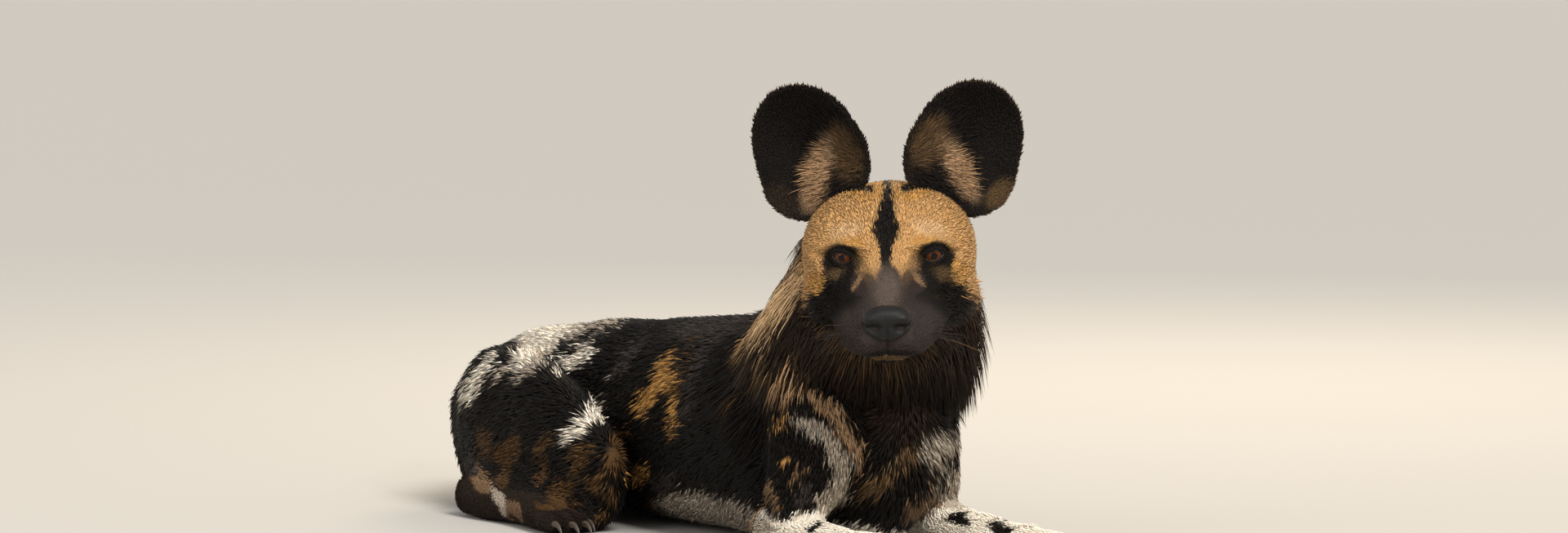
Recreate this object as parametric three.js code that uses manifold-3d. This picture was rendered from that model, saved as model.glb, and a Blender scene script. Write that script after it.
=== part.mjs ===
// An African wild dog lying on its chest with its head up and turned to its right, as a still life-size model.
// Millimetres, +X from rump to chest, +Y to the dog's left, +Z up. The floor is z = 0.
import * as THREE from "three";
import { mergeVertices } from "three/addons/utils/BufferGeometryUtils.js";
import Module from "manifold-3d";

const wasm = await Module();
wasm.setup();

// Driving dimensions
const GAP = 0.35; // between nodes that touch
const RIGHT = -1;
const LEFT = 1;
const EYES_AT = new THREE.Vector3(159, -58.6, 294); // the point midway between the eyes
const HEAD_YAW = -34; // degrees, towards the dog's right
const HEAD_PITCH = 8.5; // degrees, nose down
const HEAD_ROLL = -1.5; // degrees, left side up
const EYE_RADIUS = 12.4;
const EYE_CENTRE = { x: -2.5, y: 40.5, z: 0 };
const EYE_TURN = 12; // degrees that each eye looks outwards
const LID_THICKNESS = 2.2;
const EAR_CENTRE = { x: -66, y: 70, z: 90 };
const EAR_DEPTH = 27;
const EAR_THICKNESS = 4.2;
const EAR_FACES_OUT = 0.34; // how far the rim falls back for each millimetre outwards
const CLAW_LENGTH = 15;
const LOCK_SINK = 9; // how deep a lock's root lies under its core

// Rows of a loft: x, y, z, half width, height above the line, height below it, squareness of the section
const TORSO = [
  [-592, 0, 112, 66, 50, 60, 2.0],
  [-540, 0, 108, 94, 71, 92, 2.1],
  [-460, 0, 106, 102, 83, 102, 2.2],
  [-370, 0, 107, 96, 90, 105, 2.2],
  [-280, 0, 109, 90, 96, 108, 2.2],
  [-190, 0, 111, 94, 104, 112, 2.2],
  [-100, 0, 113, 98, 111, 115, 2.2],
  [-20, 0, 116, 90, 116, 118, 2.2],
  [45, 0, 120, 74, 96, 112, 2.1],
  [84, 0, 122, 60, 74, 90, 2.0],
];
const NECK = [
  [-48, 0, 128, 84, 90, 84, 2.0],
  [6, 0, 166, 84, 84, 84, 2.0],
  [46, -6, 214, 82, 74, 78, 2.0],
  [72, -13, 262, 78, 66, 72, 2.0],
  [86, -22, 300, 68, 56, 62, 2.0],
];
const TAIL = [
  [-585, 4, 148, 24, 22, 24, 2.0],
  [-628, 12, 108, 20, 20, 20, 2.0],
  [-652, 44, 62, 17, 17, 17, 2.0],
  [-652, 92, 36, 16, 15, 15, 2.0],
  [-622, 138, 30, 15, 14, 14, 2.0],
  [-574, 172, 28, 13, 12, 12, 2.0],
  [-520, 192, 26, 8, 8, 8, 2.0],
];
const TAIL_SPLIT_ROW = 2.5; // where the tail's base ends and its brush starts

// One side's leg rows, with y as the distance out from the middle
const RIGHT_UPPER_FORELEG = [
  [12, 60, 180, 26, 32, 34, 2.0],
  [34, 64, 150, 35, 52, 56, 2.1],
  [46, 68, 118, 36, 62, 56, 2.2],
  [42, 74, 82, 32, 54, 58, 2.2],
  [26, 82, 48, 26, 38, 46, 2.2],
];
const LEFT_UPPER_FORELEG = [
  [-26, 56, 180, 26, 30, 34, 2.0],
  [4, 62, 150, 33, 42, 52, 2.1],
  [20, 63, 118, 34, 50, 52, 2.2],
  [22, 70, 82, 31, 46, 54, 2.2],
  [16, 80, 48, 26, 34, 44, 2.2],
];
const FOREARM = [
  [-10, 86, 26, 21, 20, 28, 2.3],
  [40, 86, 25, 23, 20, 27, 2.3],
  [90, 86, 22, 20, 19, 24, 2.2],
  [140, 85, 20, 17, 17, 22, 2.2],
  [185, 84, 20, 18, 18, 22, 2.2],
];
const FOREPAW = [
  [198, 84, 18, 18, 18, 20, 2.2],
  [225, 83, 18, 20, 16, 20, 2.2],
  [252, 82, 16, 25, 15, 18, 2.2],
  [276, 81, 14, 26, 12, 16, 2.2],
];
const THIGH = [
  [-558, 78, 92, 36, 46, 84, 2.0],
  [-500, 92, 94, 43, 72, 94, 2.0],
  [-430, 102, 88, 41, 76, 90, 2.0],
  [-350, 110, 74, 36, 66, 76, 2.0],
  [-285, 114, 62, 30, 50, 64, 2.0],
  [-252, 116, 56, 23, 38, 54, 2.0],
];
const SHANK = [
  [-262, 124, 36, 18, 24, 36, 2.0],
  [-320, 129, 34, 18, 26, 34, 2.0],
  [-390, 132, 32, 17, 23, 32, 2.0],
  [-442, 134, 34, 14, 20, 26, 2.0],
  [-466, 134, 36, 13, 14, 20, 2.0],
];
const HIND_FOOT = [
  [-466, 152, 24, 13, 20, 24, 2.0],
  [-440, 153, 20, 14, 18, 22, 2.2],
  [-390, 155, 18, 14, 16, 20, 2.2],
  [-330, 157, 18, 17, 16, 20, 2.2],
  [-296, 159, 16, 22, 15, 18, 2.2],
  [-272, 160, 14, 24, 12, 16, 2.2],
];

// Toes of a paw, from the inner to the outer: how far out from the paw's middle, how far on, and the size
const TOES = [
  { out: -19, on: 0, length: 27, half: 8.6, height: 13 },
  { out: -7, on: 12, length: 30, half: 9.0, height: 14 },
  { out: 7, on: 12, length: 30, half: 9.0, height: 14 },
  { out: 19, on: 1, length: 27, half: 8.6, height: 13 },
];

// Head parts in the head's own frame: +x to the nose, +y left, z = 0 at the eyes
const SKULL = [
  [-108, 0, 10, 48, 36, 42, 2.0],
  [-84, 0, 6, 69, 50, 68, 2.1],
  [-58, 0, 0, 80, 59, 82, 2.2],
  [-32, 0, -6, 82, 57, 82, 2.2],
  [-8, 0, -14, 74, 42, 74, 2.3],
  [14, 0, -27, 56, 28, 64, 2.4],
  [36, 0, -40, 44, 25, 50, 2.5],
  [60, 0, -46, 41, 25, 44, 2.6],
  [78, 0, -50, 37, 24, 39, 2.6],
  [88, 0, -52, 31, 20, 35, 2.4],
];
const FLEW = [
  [2, 50, -50, 9, 12, 16, 2.0],
  [24, 42, -56, 11, 16, 18, 2.0],
  [50, 34, -59, 14, 19, 18, 2.0],
  [74, 26, -61, 15, 18, 17, 2.0],
  [88, 17, -62, 12, 15, 15, 2.0],
];
const CHEEK = { at: [-36, 55, -34], size: [46, 27, 38] };
const BROW = { at: [-9, 36, 14], size: [19, 22, 9] };
const CHEEKBONE = { at: [-14, 53, -16], size: [34, 17, 14] };
const NOSE = [
  [82, 0, -44, 17, 13, 14, 2.3],
  [90, 0, -44, 22, 15, 16, 2.5],
  [96, 0, -45, 20, 13, 15, 2.5],
];
const NOSTRIL = { at: [101, 12, -45], size: [9, 4.6, 5.2], turn: 28 };
const MOUTH = [
  [97, 0, -79, 4, 1.4, 1.4, 2.0],
  [90, 20, -79, 5, 1.4, 1.4, 2.0],
  [70, 36, -78, 6, 1.4, 1.4, 2.0],
  [42, 47, -74, 6, 1.4, 1.4, 2.0],
  [20, 53, -68, 4, 1.2, 1.2, 2.0],
];

// The ear's outline: how far its rim lies from its centre, every 30 degrees from the inner side over the top
const EAR_RIM = [55, 50, 53, 59, 63, 62, 59, 61, 73, 72, 66, 62];

// Interpolation
function smoothRow(rows, t) {
  const last = rows.length - 1;
  const place = Math.min(Math.max(t, 0), last);
  const i = Math.min(Math.floor(place), last - 1);
  const f = place - i;
  const pick = (k) => rows[Math.min(Math.max(k, 0), last)];
  return rows[i].map((_, c) => {
    const [a, b, d, e] = [pick(i - 1)[c], pick(i)[c], pick(i + 1)[c], pick(i + 2)[c]];
    const bend = 2 * a - 5 * b + 4 * d - e + (3 * b - a - 3 * d + e) * f;
    return b + 0.5 * f * (d - a + f * bend);
  });
}

// Which way a loft's upward direction leans, for lines that run level, lean back or stand
const LEVEL = new THREE.Vector3(0, 0, 1);
const LEANING_BACK = new THREE.Vector3(-0.6, 0, 0.8);
const STANDING = new THREE.Vector3(1, 0, 0);

// The line, side, upward direction and section of a loft at row number t
function frameAt(rows, t, hint = LEVEL) {
  const step = 0.02;
  const row = smoothRow(rows, t);
  const before = smoothRow(rows, t - step);
  const after = smoothRow(rows, t + step);
  const along = new THREE.Vector3(after[0] - before[0], after[1] - before[1], after[2] - before[2]).normalize();
  const side = new THREE.Vector3().crossVectors(hint, along).normalize();
  const up = new THREE.Vector3().crossVectors(along, side);
  return { at: new THREE.Vector3(...row.slice(0, 3)), along, side, up, row };
}

// The point of a loft's skin at row number t and an angle round its section
function skinPoint(frame, angle, scale, grow) {
  const [, , , width, above, below, square] = frame.row;
  const c = Math.cos(angle);
  const s = Math.sin(angle);
  const power = 2 / square;
  const across = (width * scale + grow) * Math.sign(c) * Math.abs(c) ** power;
  const upright = ((s > 0 ? above : below) * scale + grow) * Math.sign(s) * Math.abs(s) ** power;
  return frame.at.clone().addScaledVector(frame.side, across).addScaledVector(frame.up, upright);
}

function closedGeometry(points, faces) {
  const geometry = new THREE.BufferGeometry();
  geometry.setAttribute("position", new THREE.Float32BufferAttribute(points.flatMap((p) => p.toArray()), 3));
  geometry.setIndex(faces);
  return geometry;
}

// Joins rings of equally many points into a closed skin, with a single point at each end
function skinOf(first, rings, last) {
  const n = rings[0].length;
  const points = [first, ...rings.flat(), last];
  const end = points.length - 1;
  const faces = [];
  for (let k = 0; k < n; k++) {
    const next = (k + 1) % n;
    faces.push(0, 1 + next, 1 + k);
    faces.push(end, end - n + k, end - n + next);
    for (let r = 0; r + 1 < rings.length; r++) {
      const a = 1 + r * n;
      const b = a + n;
      faces.push(a + k, a + next, b + next, a + k, b + next, b + k);
    }
  }
  return closedGeometry(points, faces);
}

// A closed body through the rows' sections, with ends rounded over the given lengths
function loft(rows, { sides = 18, perRow = 2, ends = [20, 20], capRings = 2, grow = 0, hint = LEVEL } = {}) {
  const last = rows.length - 1;
  const rings = [];
  const ringAt = (t, scale, shift) => {
    const frame = frameAt(rows, t, hint);
    frame.at.addScaledVector(frame.along, shift);
    const turn = (k) => (2 * Math.PI * k) / sides;
    return Array.from({ length: sides }, (_, k) => skinPoint(frame, turn(k), scale, grow));
  };
  const capAngles = [60, 30].slice(2 - capRings).map(THREE.MathUtils.degToRad);
  for (const a of capAngles) rings.push(ringAt(0, Math.cos(a), -(ends[0] + grow) * Math.sin(a)));
  for (let k = 0; k <= last * perRow; k++) rings.push(ringAt(k / perRow, 1, 0));
  for (const a of [...capAngles].reverse()) rings.push(ringAt(last, Math.cos(a), (ends[1] + grow) * Math.sin(a)));
  const start = frameAt(rows, 0, hint);
  const end = frameAt(rows, last, hint);
  start.at.addScaledVector(start.along, -(ends[0] + grow));
  end.at.addScaledVector(end.along, ends[1] + grow);
  return solidOf(skinOf(start.at, rings, end.at));
}

// Solids
function solidOf(geometry) {
  const bare = geometry.clone();
  bare.deleteAttribute("normal");
  bare.deleteAttribute("uv");
  const merged = mergeVertices(bare, 1e-3);
  const mesh = new wasm.Mesh({
    numProp: 3,
    vertProperties: new Float32Array(merged.attributes.position.array),
    triVerts: new Uint32Array(merged.index.array),
  });
  const made = new wasm.Manifold(mesh);
  if (made.volume() > 0) return made;
  for (let i = 0; i < mesh.triVerts.length; i += 3) {
    [mesh.triVerts[i + 1], mesh.triVerts[i + 2]] = [mesh.triVerts[i + 2], mesh.triVerts[i + 1]];
  }
  return new wasm.Manifold(mesh);
}

const join = (solids) => solids.reduce((a, b) => a.add(b));
const cut = (solid, ...tools) => tools.reduce((a, b) => a.subtract(b), solid);
const onSide = (rows, side) => rows.map(([x, y, ...rest]) => [x, y * side, ...rest]);

// The largest closed surface of a solid, without loose scraps and sealed hollows
function largest(solid) {
  const volumes = (piece) => piece.volume();
  return solid.decompose().sort((a, b) => volumes(b) - volumes(a))[0];
}

function ball(at, size, { turn = 0, grow = 0, detail = [14, 9] } = {}) {
  const shape = new THREE.SphereGeometry(1, ...detail);
  shape.scale(size[0] + grow, size[1] + grow, size[2] + grow);
  shape.rotateZ(THREE.MathUtils.degToRad(turn));
  shape.translate(...at);
  return solidOf(shape);
}

function box(low, high) {
  const shape = new THREE.BoxGeometry(...high.map((h, i) => h - low[i]));
  shape.translate(...high.map((h, i) => (h + low[i]) / 2));
  return solidOf(shape);
}

const ABOVE_FLOOR = box([-1000, -500, 0], [600, 500, 700]);
const onFloor = (solid) => solid.intersect(ABOVE_FLOOR);

// The head's own frame in the part
const headPlace = new THREE.Matrix4()
  .makeTranslation(EYES_AT)
  .multiply(new THREE.Matrix4().makeRotationZ(THREE.MathUtils.degToRad(HEAD_YAW)))
  .multiply(new THREE.Matrix4().makeRotationY(THREE.MathUtils.degToRad(HEAD_PITCH)))
  .multiply(new THREE.Matrix4().makeRotationX(THREE.MathUtils.degToRad(-HEAD_ROLL)));
const placeHead = (solid) => solid.transform(headPlace.toArray());

// Eyes and lids
const eyeAt = (side) => [EYE_CENTRE.x, EYE_CENTRE.y * side, EYE_CENTRE.z];
const eyeball = (side, grow) => ball(eyeAt(side), [EYE_RADIUS, EYE_RADIUS, EYE_RADIUS], { grow, detail: [14, 8] });

// The almond opening between the lids, as a lens that points the way the eye looks
function almond(side) {
  const half = 11.2;
  const shape = new THREE.Shape();
  shape.moveTo(-half, -2.2);
  shape.quadraticCurveTo(-3, 13.6, half, 1.4);
  shape.quadraticCurveTo(2, -13.2, -half, -2.2);
  const opening = new THREE.ExtrudeGeometry(shape, { depth: 30, bevelEnabled: false, curveSegments: 4 });
  opening.applyMatrix4(new THREE.Matrix4().makeBasis(new THREE.Vector3(0, 1, 0), new THREE.Vector3(0, 0, 1), new THREE.Vector3(1, 0, 0)));
  if (side < 0) opening.scale(1, -1, 1);
  opening.rotateZ(THREE.MathUtils.degToRad(EYE_TURN * side));
  opening.translate(...eyeAt(side));
  return solidOf(opening);
}

function lidBall(side, grow) {
  const radius = EYE_RADIUS + LID_THICKNESS;
  return ball(eyeAt(side), [radius, radius, radius], { grow, detail: [14, 9] });
}

// Head
const pair = (piece, options) =>
  [LEFT, RIGHT].map((side) => ball([piece.at[0], piece.at[1] * side, piece.at[2]], piece.size, options));

const nose = (grow) => loft(NOSE, { sides: 12, perRow: 1, ends: [6, 6], grow });

function headForm(grow) {
  const flews = [LEFT, RIGHT].map((side) => loft(onSide(FLEW, side), { sides: 8, perRow: 1, ends: [8, 6], capRings: 1, grow }));
  return join([
    loft(SKULL, { sides: 22, perRow: 2, ends: [16, 9], grow }),
    ...flews,
    ...pair(CHEEK, { grow, detail: [10, 7] }),
    ...pair(BROW, { grow, detail: [9, 6] }),
    ...pair(CHEEKBONE, { grow, detail: [9, 6] }),
    lidBall(LEFT, grow),
    lidBall(RIGHT, grow),
  ]);
}

function head() {
  const mouth = [LEFT, RIGHT].map((side) => loft(onSide(MOUTH, side), { sides: 5, perRow: 1, ends: [2, 2], capRings: 0 }));
  const sockets = [LEFT, RIGHT].flatMap((side) => [eyeball(side, GAP), almond(side)]);
  return cut(headForm(0), nose(GAP), ...mouth, ...sockets);
}

function noseWithNostrils() {
  const holes = [LEFT, RIGHT].map((side) => {
    const [x, y, z] = NOSTRIL.at;
    return ball([x, y * side, z], NOSTRIL.size, { turn: NOSTRIL.turn * side, detail: [8, 6] });
  });
  return cut(nose(0), ...holes);
}

// Ears
function rimAt(angle) {
  const n = EAR_RIM.length;
  const rows = [...EAR_RIM, ...EAR_RIM, ...EAR_RIM].map((r) => [r]);
  return smoothRow(rows, n + (angle / (2 * Math.PI)) * n)[0];
}

// A cupped dish whose front and back skins meet round its rim, on a stem that sinks in the skull
function ear(side, grow) {
  const sectors = 22;
  const rings = [0.3, 0.6, 0.84, 0.96];
  const pointOn = (angle, share, back) => {
    const radius = rimAt(angle) * share + (share > 0.9 ? grow : 0);
    const inward = Math.cos(angle) * radius;
    const height = Math.sin(angle) * radius;
    const depth = EAR_DEPTH * (1 - share ** 2) + (back ? EAR_THICKNESS * (1 - 0.4 * share) + grow : -grow);
    const x = EAR_CENTRE.x + EAR_FACES_OUT * inward - depth + (height < 0 ? -0.18 * height : 0.05 * -height);
    return new THREE.Vector3(x, (EAR_CENTRE.y - inward) * side, EAR_CENTRE.z + height);
  };
  const ringOf = (share, back) =>
    Array.from({ length: sectors }, (_, k) => pointOn((2 * Math.PI * k) / sectors, share, back));
  const front = rings.map((share) => ringOf(share, false));
  const rear = [...rings].reverse().map((share) => ringOf(share, true));
  const dish = skinOf(pointOn(0, 0, false), [...front, ringOf(1, true), ...rear], pointOn(0, 0, true));
  const stem = loft(
    [
      [-76, 34 * side, 20, 30, 20, 22, 2.0],
      [-92, 50 * side, 42, 30, 13, 20, 2.0],
      [-102, 62 * side, 66, 24, 7, 15, 2.0],
    ],
    { sides: 10, perRow: 1, ends: [8, 8], capRings: 1, grow },
  );
  return solidOf(dish).add(stem);
}

// Trunk and limbs
const torso = (grow) => loft(TORSO, { sides: 20, perRow: 1, ends: [24, 34], grow });
function upperForeleg(side, grow) {
  const rows = side === LEFT ? LEFT_UPPER_FORELEG : RIGHT_UPPER_FORELEG;
  return loft(onSide(rows, side), { sides: 14, perRow: 2, ends: [22, 16], grow, hint: STANDING });
}
const forearm = (side, grow) => loft(onSide(FOREARM, side), { sides: 10, perRow: 1, ends: [14, 12], grow });
const thigh = (side, grow) => loft(onSide(THIGH, side), { sides: 15, perRow: 1, ends: [26, 20], grow });
const shank = (side, grow) => loft(onSide(SHANK, side), { sides: 10, perRow: 1, ends: [14, 10], grow });

function toes(rows, side, grow) {
  const [x, y] = rows[rows.length - 1];
  return TOES.map((toe) => {
    const at = [x + toe.on + 8, (y + toe.out) * side, toe.height - 1];
    return ball(at, [toe.length / 1.4, toe.half, toe.height], { grow, detail: [7, 4] });
  });
}

function paw(rows, side, grow) {
  const base = loft(onSide(rows, side), { sides: 8, perRow: 1, ends: [10, 14], capRings: 1, grow });
  return join([base, ...toes(rows, side, grow)]);
}

// A claw curves down from its toe's tip to just above the floor
function claw(rows, side, toe, grow) {
  const [x, y] = rows[rows.length - 1];
  const tip = x + toe.on + 8 + toe.length / 1.4;
  const path = [
    [tip - 7, (y + toe.out) * side, 12, 2.4, 3.2, 3.2, 2.0],
    [tip, (y + toe.out) * side, 12, 2.2, 3.0, 3.0, 2.0],
    [tip + CLAW_LENGTH * 0.35, (y + toe.out) * side, 9, 1.6, 2.2, 2.2, 2.0],
    [tip + CLAW_LENGTH * 0.6, (y + toe.out) * side, 4.5, 0.8, 1.1, 1.1, 2.0],
  ];
  return loft(path, { sides: 5, perRow: 1, ends: [1, 1.6], capRings: 0, grow });
}

// Locks of long hair
let seed = 20117;
function random() {
  seed = (seed * 1103515245 + 12345) % 2147483648;
  return seed / 2147483648;
}

// A flat tapered lock: out of the skin at root, along the lie, with its tip lifted and hanging
function lock(root, normal, lie, { length, width, thickness, lift, droop, bend }) {
  const shares = [0, 0.34, 0.72];
  const widths = [0.8, 1, 0.62];
  const across = new THREE.Vector3().crossVectors(lie, normal).normalize();
  const centre = (share) =>
    root
      .clone()
      .addScaledVector(normal, -LOCK_SINK * (1 - share) ** 3 + lift * share)
      .addScaledVector(lie, length * share)
      .addScaledVector(across, bend * share * share)
      .add(new THREE.Vector3(0, 0, -droop * share * share));
  const ringOf = (share, k) => {
    const middle = centre(share);
    const half = (width / 2) * widths[k];
    const thin = (thickness / 2) * (1 - 0.7 * share);
    return [
      middle.clone().addScaledVector(across, half),
      middle.clone().addScaledVector(normal, thin),
      middle.clone().addScaledVector(across, -half),
      middle.clone().addScaledVector(normal, -thin),
    ];
  };
  const first = centre(0).addScaledVector(normal, -2).addScaledVector(lie, -3);
  return solidOf(skinOf(first, shares.map(ringOf), centre(1)));
}

// The place, outward direction and lie of the coat on a loft at row number t
function coatAt(rows, t, angle, hint) {
  const step = 0.04;
  const pointAt = (row, turn) => skinPoint(frameAt(rows, row, hint), turn, 1, 0);
  const here = pointAt(t, angle);
  const along = pointAt(t + step, angle).sub(pointAt(t - step, angle));
  const round = pointAt(t, angle + step).sub(pointAt(t, angle - step));
  const normal = new THREE.Vector3().crossVectors(along, round).normalize();
  if (normal.dot(here.clone().sub(frameAt(rows, t, hint).at)) < 0) normal.negate();
  return { here, normal, along: along.normalize() };
}

function locksOn(rows, { from, to, rowsOfLocks, perRow, towards, size, hint }) {
  const made = [];
  for (let r = 0; r < rowsOfLocks; r++) {
    for (let k = 0; k < perRow; k++) {
      const t = from + ((to - from) * (r + 0.5 * (k % 2) + 0.2 * random())) / rowsOfLocks;
      const angle = (2 * Math.PI * (k + 0.5 * (r % 2) + 0.3 * random())) / perRow;
      const { here, normal, along } = coatAt(rows, t, angle, hint);
      const lie = along.clone().multiplyScalar(towards);
      const chosen = size(t, angle);
      const length = chosen.length * (0.85 + 0.3 * random());
      made.push(lock(here, normal, lie, { ...chosen, length, bend: 16 * (random() - 0.5) }));
    }
  }
  return made;
}

// The ruff lies back from the head to the shoulders and stands out most at the sides of the neck
const ruffSize = (t, angle) => {
  const sideways = Math.abs(Math.cos(angle));
  return { length: 62, width: 46, thickness: 9, lift: 16 + 14 * sideways, droop: 10 };
};
const brushSize = () => ({ length: 68, width: 30, thickness: 8, lift: 24, droop: 0 });

const neckCore = loft(NECK, { sides: 14, perRow: 1, ends: [30, 16], hint: LEANING_BACK });
const ruff = locksOn(NECK, {
  from: 1.2,
  to: 4,
  rowsOfLocks: 5,
  perRow: 10,
  towards: -1,
  size: ruffSize,
  hint: LEANING_BACK,
});
const tailCore = loft(TAIL, { sides: 8, perRow: 2, ends: [20, 14] });
const brush = locksOn(TAIL, { from: 2.9, to: 5.8, rowsOfLocks: 5, perRow: 4, towards: 1, size: brushSize, hint: LEVEL });

// A thin slab across a loft at row number t, which parts it in two
function slabAcross(rows, t, half) {
  const { at, along, side, up } = frameAt(rows, t);
  const shape = new THREE.BoxGeometry(2 * half, 2 * half, GAP);
  shape.applyMatrix4(new THREE.Matrix4().makeBasis(side, up, along).setPosition(at));
  return solidOf(shape);
}

// Finishes
const finish = (color, roughness) => new THREE.MeshStandardMaterial({ color, roughness, metalness: 0 });
const FINISHES = {
  dark: finish("#1d1715", 0.85),
  tan: finish("#b08850", 0.85),
  white: finish("#b9ac98", 0.85),
  nose: finish("#15161a", 0.4),
  eye: finish("#3a1a0c", 0.1),
  claw: finish("#2a2420", 0.45),
};

// Assembly: each node is cut clear of those made before it
const part = new THREE.Group();
const grownHead = placeHead(headForm(GAP).add(nose(GAP)));
const grownTorso = torso(GAP);

function geometryOf(solid) {
  const { numProp, vertProperties, triVerts } = solid.getMesh();
  const count = vertProperties.length / numProp;
  const points = Array.from({ length: count }, (_, i) =>
    new THREE.Vector3(...vertProperties.subarray(i * numProp, i * numProp + 3)));
  return closedGeometry(points, [...triVerts]);
}

// Points closer than a thousandth of a millimetre fall together, which can part a solid, so it's settled twice
function addNode(name, solid, material) {
  const once = largest(solidOf(geometryOf(largest(solid))));
  const made = largest(solidOf(geometryOf(once)));
  const mesh = new THREE.Mesh(geometryOf(made), material);
  mesh.name = name;
  part.add(mesh);
}

addNode("head", placeHead(head()), FINISHES.tan);
addNode("nose", placeHead(noseWithNostrils()), FINISHES.nose);

const grownEars = [];
for (const [side, word] of [[RIGHT, "right"], [LEFT, "left"]]) {
  addNode("eye_" + word, placeHead(eyeball(side, 0)), FINISHES.eye);
  addNode("ear_" + word, cut(placeHead(ear(side, 0)), grownHead), FINISHES.dark);
  grownEars.push(placeHead(ear(side, GAP)));
}

const grownLegs = [];
for (const [side, word] of [[RIGHT, "right"], [LEFT, "left"]]) {
  const grownUpper = upperForeleg(side, GAP);
  const grownForearm = forearm(side, GAP);
  addNode("foreleg_upper_" + word, onFloor(upperForeleg(side, 0)), FINISHES.dark);
  addNode("forearm_" + word, onFloor(cut(forearm(side, 0), grownUpper)), FINISHES.white);
  const foreClaws = TOES.map((toe) => claw(FOREPAW, side, toe, 0));
  const foreClawRoom = TOES.map((toe) => claw(FOREPAW, side, toe, GAP));
  addNode("forepaw_" + word, onFloor(cut(paw(FOREPAW, side, 0), grownForearm, ...foreClawRoom)), FINISHES.white);
  foreClaws.forEach((made, k) => addNode("claw_fore_" + word + "_" + (k + 1), made, FINISHES.claw));

  const grownThigh = thigh(side, GAP);
  const grownShank = shank(side, GAP);
  addNode("thigh_" + word, onFloor(thigh(side, 0)), FINISHES.dark);
  addNode("shank_" + word, onFloor(cut(shank(side, 0), grownThigh)), FINISHES.dark);
  const hindClaws = TOES.map((toe) => claw(HIND_FOOT, side, toe, 0));
  const hindClawRoom = TOES.map((toe) => claw(HIND_FOOT, side, toe, GAP));
  const foot = cut(paw(HIND_FOOT, side, 0), grownThigh, grownShank, ...hindClawRoom);
  addNode("hind_foot_" + word, onFloor(foot), FINISHES.dark);
  hindClaws.forEach((made, k) => addNode("claw_hind_" + word + "_" + (k + 1), made, FINISHES.claw));
  grownLegs.push(grownUpper, grownForearm, grownThigh, grownShank);
}
addNode("torso", onFloor(cut(torso(0), ...grownLegs)), FINISHES.dark);

const neck = cut(join([neckCore, ...ruff]), grownTorso, grownHead, ...grownEars, ...grownLegs);
addNode("neck", neck, FINISHES.dark);

const grownFoot = paw(HIND_FOOT, LEFT, GAP);
const tail = onFloor(cut(join([tailCore, ...brush]), grownTorso, ...grownLegs, grownFoot));
const beforeSplit = tailCore.subtract(slabAcross(TAIL, TAIL_SPLIT_ROW, 60)).subtract(grownTorso);
const tailBase = beforeSplit.decompose().sort((a, b) => b.boundingBox().max[2] - a.boundingBox().max[2])[0];
addNode("tail_base", onFloor(cut(tailBase, ...grownLegs)), FINISHES.tan);
const grownBase = join([[0, 0, GAP], [0, 0, -GAP], [0, GAP, 0], [0, -GAP, 0], [GAP, 0, 0], [-GAP, 0, 0]]
  .map((shift) => tailBase.translate(shift)));
addNode("tail_brush", cut(tail, grownBase, slabAcross(TAIL, TAIL_SPLIT_ROW, 26)), FINISHES.white);

// The origin is on the floor, in the middle of the outline seen from above
const middle = new THREE.Box3().setFromObject(part).getCenter(new THREE.Vector3());
part.position.set(-middle.x, -middle.y, 0);

export default part;
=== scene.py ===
"""An African wild dog lying on its chest, its head up and turned to its right: a still, life-size model.

Sizes below are in millimetres in the dog's own frame, +X from rump to chest, +Y to its left and +Z up,
with the elbows at X = 0 and the floor at Z = 0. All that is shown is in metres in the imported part's frame.
"""

import math

import bmesh
import bpy
import numpy as np
from mathutils import Matrix, Vector


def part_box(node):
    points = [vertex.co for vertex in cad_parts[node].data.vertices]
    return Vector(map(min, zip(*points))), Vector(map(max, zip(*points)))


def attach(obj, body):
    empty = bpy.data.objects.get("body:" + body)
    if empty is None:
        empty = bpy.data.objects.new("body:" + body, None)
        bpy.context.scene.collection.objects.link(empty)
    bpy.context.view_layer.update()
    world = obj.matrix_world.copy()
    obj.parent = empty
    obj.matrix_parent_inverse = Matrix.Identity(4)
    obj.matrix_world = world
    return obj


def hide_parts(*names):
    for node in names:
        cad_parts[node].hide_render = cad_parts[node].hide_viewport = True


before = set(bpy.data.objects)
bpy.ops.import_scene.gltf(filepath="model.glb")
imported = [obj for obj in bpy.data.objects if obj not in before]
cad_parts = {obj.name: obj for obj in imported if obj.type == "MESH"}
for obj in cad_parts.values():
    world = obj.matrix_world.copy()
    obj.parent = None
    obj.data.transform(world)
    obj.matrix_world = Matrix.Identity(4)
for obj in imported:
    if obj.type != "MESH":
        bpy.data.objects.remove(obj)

bl_info = {
    "name": "African Wild Dog Model",
    "version": (1, 0, 0),
    "blender": (4, 5, 0),
    "location": "View3D > Sidebar > Wild Dog",
    "description": "Builds the skin, coat, eyes, nose and claws of a lying African wild dog",
    "category": "Object",
}

MM = 0.001
UP = np.array([0.0, 0.0, 1.0])
LEANING_BACK = np.array([-0.6, 0.0, 0.8])
STANDING = np.array([1.0, 0.0, 0.0])

# The head's place and turn
EYES_AT = np.array([159.0, -58.6, 294.0])
HEAD_YAW = -34.0
HEAD_PITCH = 8.5
HEAD_ROLL = -1.5
EYE_CENTRE = np.array([-2.5, 40.5, 0.0])
EYE_RADIUS = 12.4
EYE_TURN = 12.0
EYE_OPENING = 9.6
UPPER_LID = 4.5
LOWER_LID = 5.2

# The photo's view: turn round the dog, height above the horizon, distance, and the middle of the picture
VIEW_AZIMUTH = 58.0
VIEW_ELEVATION = 4.5
VIEW_DISTANCE = 9000.0
VIEW_ACROSS = -62.3
VIEW_HIGH = 269.1
VIEW_DEPTH = 188.2
VIEW_WIDTH = 1459.2

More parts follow.
